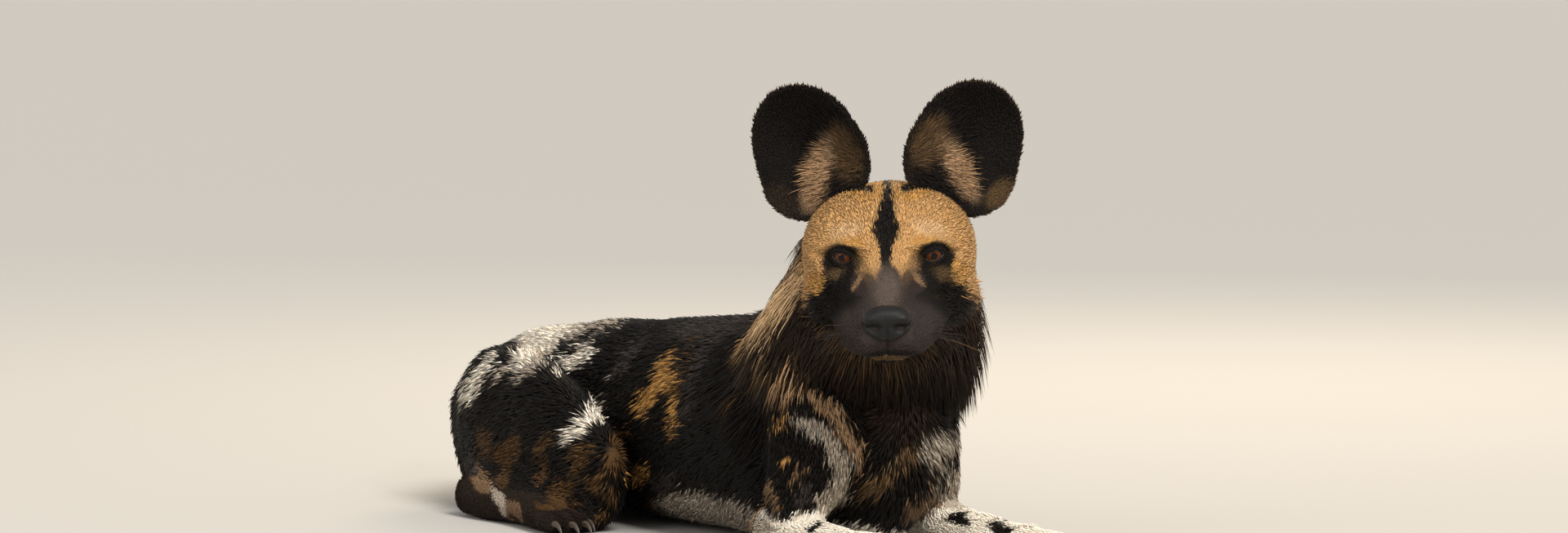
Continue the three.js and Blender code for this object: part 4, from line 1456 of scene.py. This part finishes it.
def build_lid_rims():
    """The bare dark edges of the lids, a thin roll round each opening."""
    forms = []
    for side in SIDES.values():
        centre, look, outward, up = eye_axes(side)
        turn = np.linspace(0, 2 * math.pi, 96, endpoint=False)
        scale = np.ones_like(turn)
        for _ in range(12):
            scale /= almond(EYE_OPENING * np.cos(turn) * scale, 5.6 * np.sin(turn) * scale)
        along, upward = EYE_OPENING * np.cos(turn) * scale, 5.6 * np.sin(turn) * scale
        a, b = along / EYE_RADIUS, upward / EYE_RADIUS
        way = unit(look + np.tan(a)[:, None] * outward + np.tan(b)[:, None] * up)
        path = centre + way * (EYE_RADIUS + 0.75)
        ahead = unit(np.roll(path, -1, 0) - np.roll(path, 1, 0))
        beside = np.cross(ahead, way)
        ring = np.linspace(0, 2 * math.pi, 10, endpoint=False)
        tube = [path + 0.8 * (math.cos(r) * way + math.sin(r) * beside) for r in ring]
        points = np.stack(tube, 1).reshape(-1, 3)
        n, m = len(turn), len(ring)
        k = np.arange(n)[:, None] * m
        after = ((np.arange(n) + 1) % n)[:, None] * m
        j = np.arange(m)[None]
        nxt = (j + 1) % m
        faces = np.stack([k + j, k + nxt, after + nxt, after + j], 2).reshape(-1, 4).tolist()
        forms.append((from_head(points), faces))
    rims = joined("lid_rims", forms)
    facing_out(rims)
    smooth_faces(rims)
    tone = (0.006, 0.005, 0.005)
    finish_piece(rims, shared_material(leather_material, "lid_skin", tone, 0.32, 1500.0, 0.0002))


def build_nose():
    """The nose pad: two open nostrils with slits to the sides, and a groove down the middle."""
    points, faces = loft(NOSE, 96, 22, (6, 6))
    local = points.copy()
    low = smoothstep(-46, -62, local[:, 2])
    local[:, 1] *= 1 - 0.3 * low
    for side in (-1.0, 1.0):
        d = local - np.array([101.5, 11.0 * side, -47.5])
        inner = np.exp(-((d[:, 1] / 5.0) ** 2) - (d[:, 2] / 5.0) ** 2)
        below = d[:, 2] + 2.5 - 0.5 * d[:, 1] * side
        slit = np.exp(-(((d[:, 1] - 8.0 * side) / 5.5) ** 2) - (below / 2.0) ** 2)
        wing = np.exp(-(((d[:, 1] - 4.0 * side) / 7.5) ** 2) - ((d[:, 2] - 8.5) / 3.6) ** 2)
        ahead = smoothstep(86, 94, local[:, 0])
        local[:, 0] += ahead * (-7.5 * inner - 4.2 * slit + 1.8 * wing)
        local[:, 1] += ahead * side * 0.8 * wing
    groove = np.exp(-((local[:, 1] / 1.3) ** 2))
    groove = groove * smoothstep(-42, -50, local[:, 2]) * smoothstep(86, 94, local[:, 0])
    local[:, 0] -= 1.6 * groove
    nose = mesh_object("nose_pad", placed(from_head(local)), faces)
    facing_out(nose)
    smooth_faces(nose)
    tone = (0.0045, 0.0042, 0.0042)
    finish_piece(nose, shared_material(leather_material, "nose_skin", tone, 0.46, 1100.0, 0.0004))
    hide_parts("nose")


def build_claws():
    """Sixteen curved claws, one for each toe."""
    forms, nodes = [], []
    for foot, rows in (("fore", FOREPAW), ("hind", HIND_FOOT)):
        for word, side in SIDES.items():
            x, y = rows[-1][:2]
            for k, (out, on, long, _, _) in enumerate(TOES):
                tip = x + on + 8 + long / 1.4
                sideways = (y + out) * side
                path = [
                    (tip - 7, sideways, 12, 2.4, 3.2, 3.2, 2.0),
                    (tip, sideways, 12, 2.2, 3.0, 3.0, 2.0),
                    (tip + 5.2, sideways, 9, 1.6, 2.2, 2.2, 2.0),
                    (tip + 9, sideways, 4.5, 0.8, 1.1, 1.1, 2.0),
                ]
                forms.append(loft(path, 16, 6, (1, 1.4)))
                nodes.append(f"claw_{foot}_{word}_{k + 1}")
    claws = joined("claws", forms)
    facing_out(claws)
    smooth_faces(claws)
    finish_piece(claws, shared_material(claw_material, "claw_horn"))
    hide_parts(*nodes)


FLESH_NODES = ["head", "torso", "neck", "tail_base", "tail_brush"] + [
    f"{part}_{word}"
    for part in ("ear", "foreleg_upper", "forearm", "forepaw", "thigh", "shank", "hind_foot")
    for word in SIDES
]


def dress_skin(skin):
    """The skin's unwrap, its markings and its material."""
    select_only(skin)
    skin.data.uv_layers.new(name="OFBake")
    bpy.ops.object.mode_set(mode="EDIT")
    bpy.ops.mesh.select_all(action="SELECT")
    bpy.ops.uv.smart_project(angle_limit=math.radians(66), island_margin=0.002)
    bpy.ops.object.mode_set(mode="OBJECT")
    points, normals = mesh_points(skin), mesh_normals(skin)
    # painted shade: the skin under the coat takes the markings darkened to 0.8
    colours = markings(points, normals, 0.8) * 0.8
    set_colours(skin, "Coat", colours)
    smooth_faces(skin)
    finish_piece(skin, shared_material(coat_material, "coat_skin", 700.0, 0.3, 0.8))
    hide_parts(*FLESH_NODES)


def build_coat(skin, props):
    """Every tuft and lock of the coat, as joined meshes over the skin."""
    ground = CoatGround(skin)
    fields = ground.fields
    share = 1.0
    material = shared_material(coat_material, "coat_hair", 900.0, 0.18, 0.6)

    def add(name, roots, rng, **how):
        finish_piece(grow_coat(name, roots, rng, **how), material)

    fine = 1 / np.maximum(fields["wide"] * fields["long"], 2.5)
    everywhere = fields["density"] * fine**0.8
    for k in range(props.coat_layers):
        rng = np.random.default_rng(100 + k)
        add(f"coat_short_{k + 1}", ground.roots(int(props.tufts_per_layer * share), everywhere, rng), rng)
    ruff = fields["density"] * np.clip(fields["neck"] + 0.7 * fields["cheek"], 0, 1) ** 1.5
    for k in range(2):
        rng = np.random.default_rng(200 + k)
        roots = ground.roots(int(props.ruff_locks * share), ruff, rng)
        sides = smoothstep(40, 100, np.abs(roots["point"] @ VIEW_RIGHT - 25))
        roots["long"] = roots["long"] * (1.1 + 0.35 * sides)
        roots["lift"] = roots["lift"] * (1.0 + 0.35 * sides)
        roots["wide"] = roots["wide"] * 0.8
        add(f"coat_ruff_{k + 1}", roots, rng, levels=2, droop=0.16, sink=4.0, tips=ruff_tips)
    rng = np.random.default_rng(300)
    roots = ground.roots(int(props.brush_locks * share), fields["tail"] * fields["density"], rng)
    roots["long"] = roots["long"] * 1.25
    add("coat_brush", roots, rng, levels=2, droop=0.05, sink=4.0)
    rng = np.random.default_rng(310)
    inside = ear_hair_share(ground.points, ground.normals)
    roots = ground.roots(int(props.ear_locks * share), inside, rng)
    inward, height, share_out, _, side = ear_place(roots["point"])
    outward = np.stack([np.full(len(side), 0.25), side, 0.25 + 0.012 * height], 1) @ HEAD_TURN.T
    roots["run"] = unit(outward - roots["normal"] * np.sum(outward * roots["normal"], axis=1)[:, None])
    roots["long"] = 10.0 + 7.0 * smoothstep(0.95, 0.5, share_out)
    roots["wide"] = np.full(len(side), 0.95)
    roots["lift"] = np.full(len(side), 0.26)
    add("coat_ear_hair", roots, rng, levels=2, droop=0.0, sink=1.0)
    rng = np.random.default_rng(320)
    roots = ground.roots(WHISKERS, mound(into_head(ground.points), *WHISKER_PADS) ** 2, rng)
    back = rng.uniform(-0.8, 0.1, WHISKERS)
    outward = np.sign(into_head(roots["point"])[:, 1])
    spread = np.stack([back, outward, rng.normal(-0.25, 0.3, WHISKERS)], 1)
    roots["run"] = unit(spread) @ HEAD_TURN.T
    roots["long"] = rng.uniform(24, 44, WHISKERS)
    roots["wide"] = np.full(WHISKERS, 0.5)
    roots["lift"] = np.full(WHISKERS, 0.12)
    add("coat_whiskers", roots, rng, levels=2, droop=0.1, sink=1.0)


def ear_hair_share(points, normals):
    """Where the long hair stands inside the ears: the inner half of each cup."""
    inward, height, share, behind, _ = ear_place(points)
    front = smoothstep(0.1, 0.4, normals @ HEAD_TURN[:, 0]) * (np.abs(behind) < 4)
    spot = np.exp(-(((inward - 24) / 15) ** 2) - ((height + 16) / 30) ** 2)
    return front * spot * (share < 0.9)


def ruff_tips(roots, colours):
    """Light tips on the hair that stands out at the neck's left."""
    points = roots["point"]
    left = smoothstep(95, 125, points @ VIEW_RIGHT)
    return colours * 1.15 + (palette()[DUN] - colours) * (0.3 * left)[:, None]


# Stage
def build_stage(props):
    """A pale floor, soft lights and the camera at the photo's angle."""
    bpy.ops.object.select_all(action="DESELECT")
    bpy.ops.mesh.primitive_plane_add(size=44.0, location=(0, 0, 0))
    floor = bpy.context.object
    floor.name = "floor"
    material, tree, shader = new_material("floor_paper")
    grain = add_node(tree, "ShaderNodeTexNoise", (-500, 0))
    grain.inputs["Scale"].default_value = 3.0
    tones = add_node(tree, "ShaderNodeMix", (-250, 0), data_type="RGBA")
    tones.inputs["A"].default_value = (0.46, 0.445, 0.42, 1)
    tones.inputs["B"].default_value = (0.49, 0.475, 0.45, 1)
    tree.links.new(grain.outputs["Fac"], tones.inputs["Factor"])
    tree.links.new(tones.outputs["Result"], shader.inputs["Base Color"])
    shader.inputs["Roughness"].default_value = 0.9
    floor.data.materials.append(material)
    world = bpy.data.worlds.new("studio")
    world.use_nodes = True
    world.node_tree.nodes["Background"].inputs["Color"].default_value = (1.0, 0.97, 0.93, 1)
    world.node_tree.nodes["Background"].inputs["Strength"].default_value = props.fill_light
    bpy.context.scene.world = world
    target = Vector(placed((60.0, -30.0, 200.0)))
    bpy.ops.object.light_add(type="SUN", location=target + Vector((2.4, -0.2, 2.6)))
    sun = bpy.context.object
    sun.name = "lamp_key"
    sun.data.energy = props.key_light
    sun.data.angle = math.radians(24)
    sun.data.color = (1.0, 0.95, 0.87)
    aim_at(sun, target)
    lamps = (
        ("side", (0.6, -3.2, 1.5), 1.8, props.side_light, (1.0, 0.97, 0.93)),
        ("rim", (-1.6, 1.7, 1.5), 1.0, props.rim_light, (1.0, 0.82, 0.58)),
        ("catch", (2.2, -0.5, 1.3), 0.2, props.side_light * 0.6, (1.0, 0.98, 0.95)),
    )
    for name, offset, size, power, colour in lamps:
        bpy.ops.object.light_add(type="AREA", location=target + Vector(offset))
        lamp = bpy.context.object
        lamp.name = "lamp_" + name
        lamp.data.size = size
        lamp.data.energy = power
        lamp.data.color = colour
        aim_at(lamp, target)
    build_camera()


def aim_at(made, target):
    """Turns a lamp or camera to look at a place."""
    made.rotation_mode = "QUATERNION"
    made.rotation_quaternion = (Vector(target) - made.location).to_track_quat("-Z", "Y")


def build_camera():
    aim = VIEW_RIGHT * VIEW_ACROSS + VIEW_UP * VIEW_HIGH + VIEW_TOWARDS * VIEW_DEPTH
    at = Vector(placed(aim + VIEW_TOWARDS * VIEW_DISTANCE))
    data = bpy.data.cameras.new("camera")
    camera = bpy.data.objects.new("camera", data)
    bpy.context.scene.collection.objects.link(camera)
    data.sensor_width = 36.0
    data.lens = 36.0 * VIEW_DISTANCE / VIEW_WIDTH
    data.clip_end = 100.0
    camera.location = at
    aim_at(camera, placed(aim))
    bpy.context.scene.camera = camera
    view = bpy.context.scene.view_settings
    view.view_transform = "Standard"


# Settings
class SkinSettings(bpy.types.PropertyGroup):
    body_coat: bpy.props.FloatProperty(
        name="Body coat",
        description="Depth of the coat on the body, in millimetres",
        default=7.0,
    )
    limb_coat: bpy.props.FloatProperty(
        name="Limb coat",
        description="Depth of the coat on thighs and shoulders, in millimetres",
        default=4.5,
    )
    foot_coat: bpy.props.FloatProperty(
        name="Foot coat",
        description="Depth of the coat on the feet, in millimetres",
        default=2.0,
    )
    face_coat: bpy.props.FloatProperty(
        name="Face coat",
        description="Depth of the coat on the face, in millimetres",
        default=2.2,
    )
    skin_grain: bpy.props.FloatProperty(
        name="Skin grain",
        description="Size of the skin's faces",
        default=0.0051,
        unit="LENGTH",
    )
    skin_smoothing: bpy.props.IntProperty(
        name="Skin smoothing",
        description="Passes that blend the forms into each other",
        default=14,
    )


class ColourSettings(bpy.types.PropertyGroup):
    black: bpy.props.FloatVectorProperty(
        name="Black",
        description="Darkest coat, on the back, the ears and the face",
        default=(0.0060, 0.0043, 0.0034),
        subtype="COLOR",
    )
    umber: bpy.props.FloatVectorProperty(
        name="Umber",
        description="Dark brown of the chest and the neck",
        default=(0.0180, 0.0105, 0.0065),
        subtype="COLOR",
    )
    russet: bpy.props.FloatVectorProperty(
        name="Russet",
        description="Red-brown flecks on thigh and flank",
        default=(0.0880, 0.0450, 0.0155),
        subtype="COLOR",
    )
    gold: bpy.props.FloatVectorProperty(
        name="Gold",
        description="Gold patches on the flank, the neck and the brows",
        default=(0.4700, 0.2500, 0.0750),
        subtype="COLOR",
    )
    tan: bpy.props.FloatVectorProperty(
        name="Tan",
        description="Tan of the forehead and the tail's root",
        default=(0.4900, 0.2800, 0.1120),
        subtype="COLOR",
    )
    # Cream is partly painted light: its tone is raised as painted backlight on the neck's edge, and over the
    # eyes it is the painted highlight on the brows
    cream: bpy.props.FloatVectorProperty(
        name="Cream",
        description="Light hair at the neck and over the eyes",
        default=(0.6200, 0.4200, 0.2300),
        subtype="COLOR",
    )
    straw: bpy.props.FloatVectorProperty(
        name="Straw",
        description="Straw bands on the shoulder and light hair in the ears",
        default=(0.3600, 0.2250, 0.1250),
        subtype="COLOR",
    )
    olive: bpy.props.FloatVectorProperty(
        name="Olive",
        description="Olive-brown patches on shoulder and foreleg",
        default=(0.1200, 0.0720, 0.0330),
        subtype="COLOR",
    )
    moss: bpy.props.FloatVectorProperty(
        name="Moss",
        description="Darker hair in the ears",
        default=(0.0800, 0.0470, 0.0210),
        subtype="COLOR",
    )
    dun: bpy.props.FloatVectorProperty(
        name="Dun",
        description="Greyish brown of the hock and the light tips",
        default=(0.1900, 0.1150, 0.0620),
        subtype="COLOR",
    )
    # Smoke is also the painted sheen along the top of the back
    smoke: bpy.props.FloatVectorProperty(
        name="Smoke",
        description="Smoky grey-brown shades on the flank",
        default=(0.0420, 0.0340, 0.0310),
        subtype="COLOR",
    )
    slate: bpy.props.FloatVectorProperty(
        name="Slate",
        description="Dark grey-brown of the muzzle",
        default=(0.0300, 0.0205, 0.0175),
        subtype="COLOR",
    )
    ash: bpy.props.FloatVectorProperty(
        name="Ash",
        description="Where the muzzle's top catches the light",
        default=(0.1150, 0.0870, 0.0720),
        subtype="COLOR",
    )
    pale: bpy.props.FloatVectorProperty(
        name="Pale",
        description="Dull white patches on rump, belly and legs",
        default=(0.4000, 0.3400, 0.2750),
        subtype="COLOR",
    )
    white: bpy.props.FloatVectorProperty(
        name="White",
        description="White patches, forefeet and brush",
        default=(0.8400, 0.7600, 0.6500),
        subtype="COLOR",
    )


class DetailSettings(bpy.types.PropertyGroup):
    iris_size: bpy.props.FloatProperty(
        name="Iris size",
        description="Radius of the iris over the ball, in millimetres",
        default=8.6,
    )


class CoatSettings(bpy.types.PropertyGroup):
    coat_layers: bpy.props.IntProperty(
        name="Short coat pieces",
        description="Joined meshes of short tufts",
        default=6,
    )
    tufts_per_layer: bpy.props.IntProperty(
        name="Tufts in a piece",
        description="Short tufts in each piece",
        default=32000,
    )
    ruff_locks: bpy.props.IntProperty(
        name="Ruff locks",
        description="Long locks in each of two ruff pieces",
        default=9500,
    )
    brush_locks: bpy.props.IntProperty(
        name="Brush locks",
        description="Long locks on the tail",
        default=6000,
    )
    ear_locks: bpy.props.IntProperty(
        name="Ear hair",
        description="Long hairs inside the ears",
        default=4200,
    )


class StageSettings(bpy.types.PropertyGroup):
    key_light: bpy.props.FloatProperty(
        name="Key light",
        description="Strength of the key light",
        default=3.0,
    )
    side_light: bpy.props.FloatProperty(
        name="Side light",
        description="Power of the side lamp",
        default=26.0,
        unit="POWER",
    )
    rim_light: bpy.props.FloatProperty(
        name="Rim light",
        description="Power of the warm lamp behind",
        default=30.0,
        unit="POWER",
    )
    fill_light: bpy.props.FloatProperty(
        name="Fill light",
        description="Strength of the even light all round",
        default=0.6,
    )


# Operators
class WILDDOG_OT_skin(bpy.types.Operator):
    """Draw one skin over the flesh, with lids, lips and ears"""

    bl_idname = "wilddog.skin"
    bl_label = "Build Skin"

    def execute(self, context):
        skin = build_skin(context.scene.wilddog_skin)
        muscle_bumps(skin)
        dress_skin(skin)
        return {"FINISHED"}


class WILDDOG_OT_eyes(bpy.types.Operator):
    """Set the two eyes and the edges of their lids"""

    bl_idname = "wilddog.eyes"
    bl_label = "Build Eyes"

    def execute(self, context):
        build_eyes(context.scene.wilddog_details)
        build_lid_rims()
        return {"FINISHED"}


class WILDDOG_OT_nose(bpy.types.Operator):
    """Shape the nose pad with its nostrils"""

    bl_idname = "wilddog.nose"
    bl_label = "Build Nose"

    def execute(self, context):
        build_nose()
        return {"FINISHED"}


class WILDDOG_OT_claws(bpy.types.Operator):
    """Set a claw on each toe"""

    bl_idname = "wilddog.claws"
    bl_label = "Build Claws"

    def execute(self, context):
        build_claws()
        return {"FINISHED"}


class WILDDOG_OT_coat(bpy.types.Operator):
    """Grow the coat, the ruff, the tail's brush and the hair in the ears"""

    bl_idname = "wilddog.coat"
    bl_label = "Grow Coat"

    def execute(self, context):
        skin = bpy.data.objects.get("skin")
        if skin is None:
            raise RuntimeError("build the skin before the coat")
        build_coat(skin, context.scene.wilddog_coat)
        return {"FINISHED"}


class WILDDOG_OT_stage(bpy.types.Operator):
    """Lay the floor and set the lights and the camera"""

    bl_idname = "wilddog.stage"
    bl_label = "Build Stage"

    def execute(self, context):
        build_stage(context.scene.wilddog_stage)
        return {"FINISHED"}


OPERATORS = (
    WILDDOG_OT_skin,
    WILDDOG_OT_eyes,
    WILDDOG_OT_nose,
    WILDDOG_OT_claws,
    WILDDOG_OT_coat,
    WILDDOG_OT_stage,
)


class WILDDOG_PT_panel(bpy.types.Panel):
    """The wild dog's settings and steps"""

    bl_label = "Wild Dog"
    bl_idname = "WILDDOG_PT_panel"
    bl_space_type = "VIEW_3D"
    bl_region_type = "UI"
    bl_category = "Wild Dog"

    def draw(self, context):
        for settings in SETTINGS:
            group = getattr(context.scene, settings)
            box = self.layout.box()
            for key in group.bl_rna.properties.keys():
                if key not in ("rna_type", "name"):
                    box.prop(group, key)
        for operator in OPERATORS:
            self.layout.operator(operator.bl_idname)


SETTINGS = {
    "wilddog_skin": SkinSettings,
    "wilddog_colours": ColourSettings,
    "wilddog_details": DetailSettings,
    "wilddog_coat": CoatSettings,
    "wilddog_stage": StageSettings,
}


def register():
    for kind in (*SETTINGS.values(), *OPERATORS, WILDDOG_PT_panel):
        bpy.utils.register_class(kind)
    for name, kind in SETTINGS.items():
        setattr(bpy.types.Scene, name, bpy.props.PointerProperty(type=kind))


def unregister():
    for name in SETTINGS:
        delattr(bpy.types.Scene, name)
    for kind in (WILDDOG_PT_panel, *reversed(OPERATORS), *reversed(list(SETTINGS.values()))):
        bpy.utils.unregister_class(kind)


def main():
    register()
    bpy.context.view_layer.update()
    bpy.ops.wilddog.skin()
    bpy.ops.wilddog.eyes()
    bpy.ops.wilddog.nose()
    bpy.ops.wilddog.claws()
    bpy.ops.wilddog.coat()
    bpy.ops.wilddog.stage()


if __name__ == "__main__":
    main()
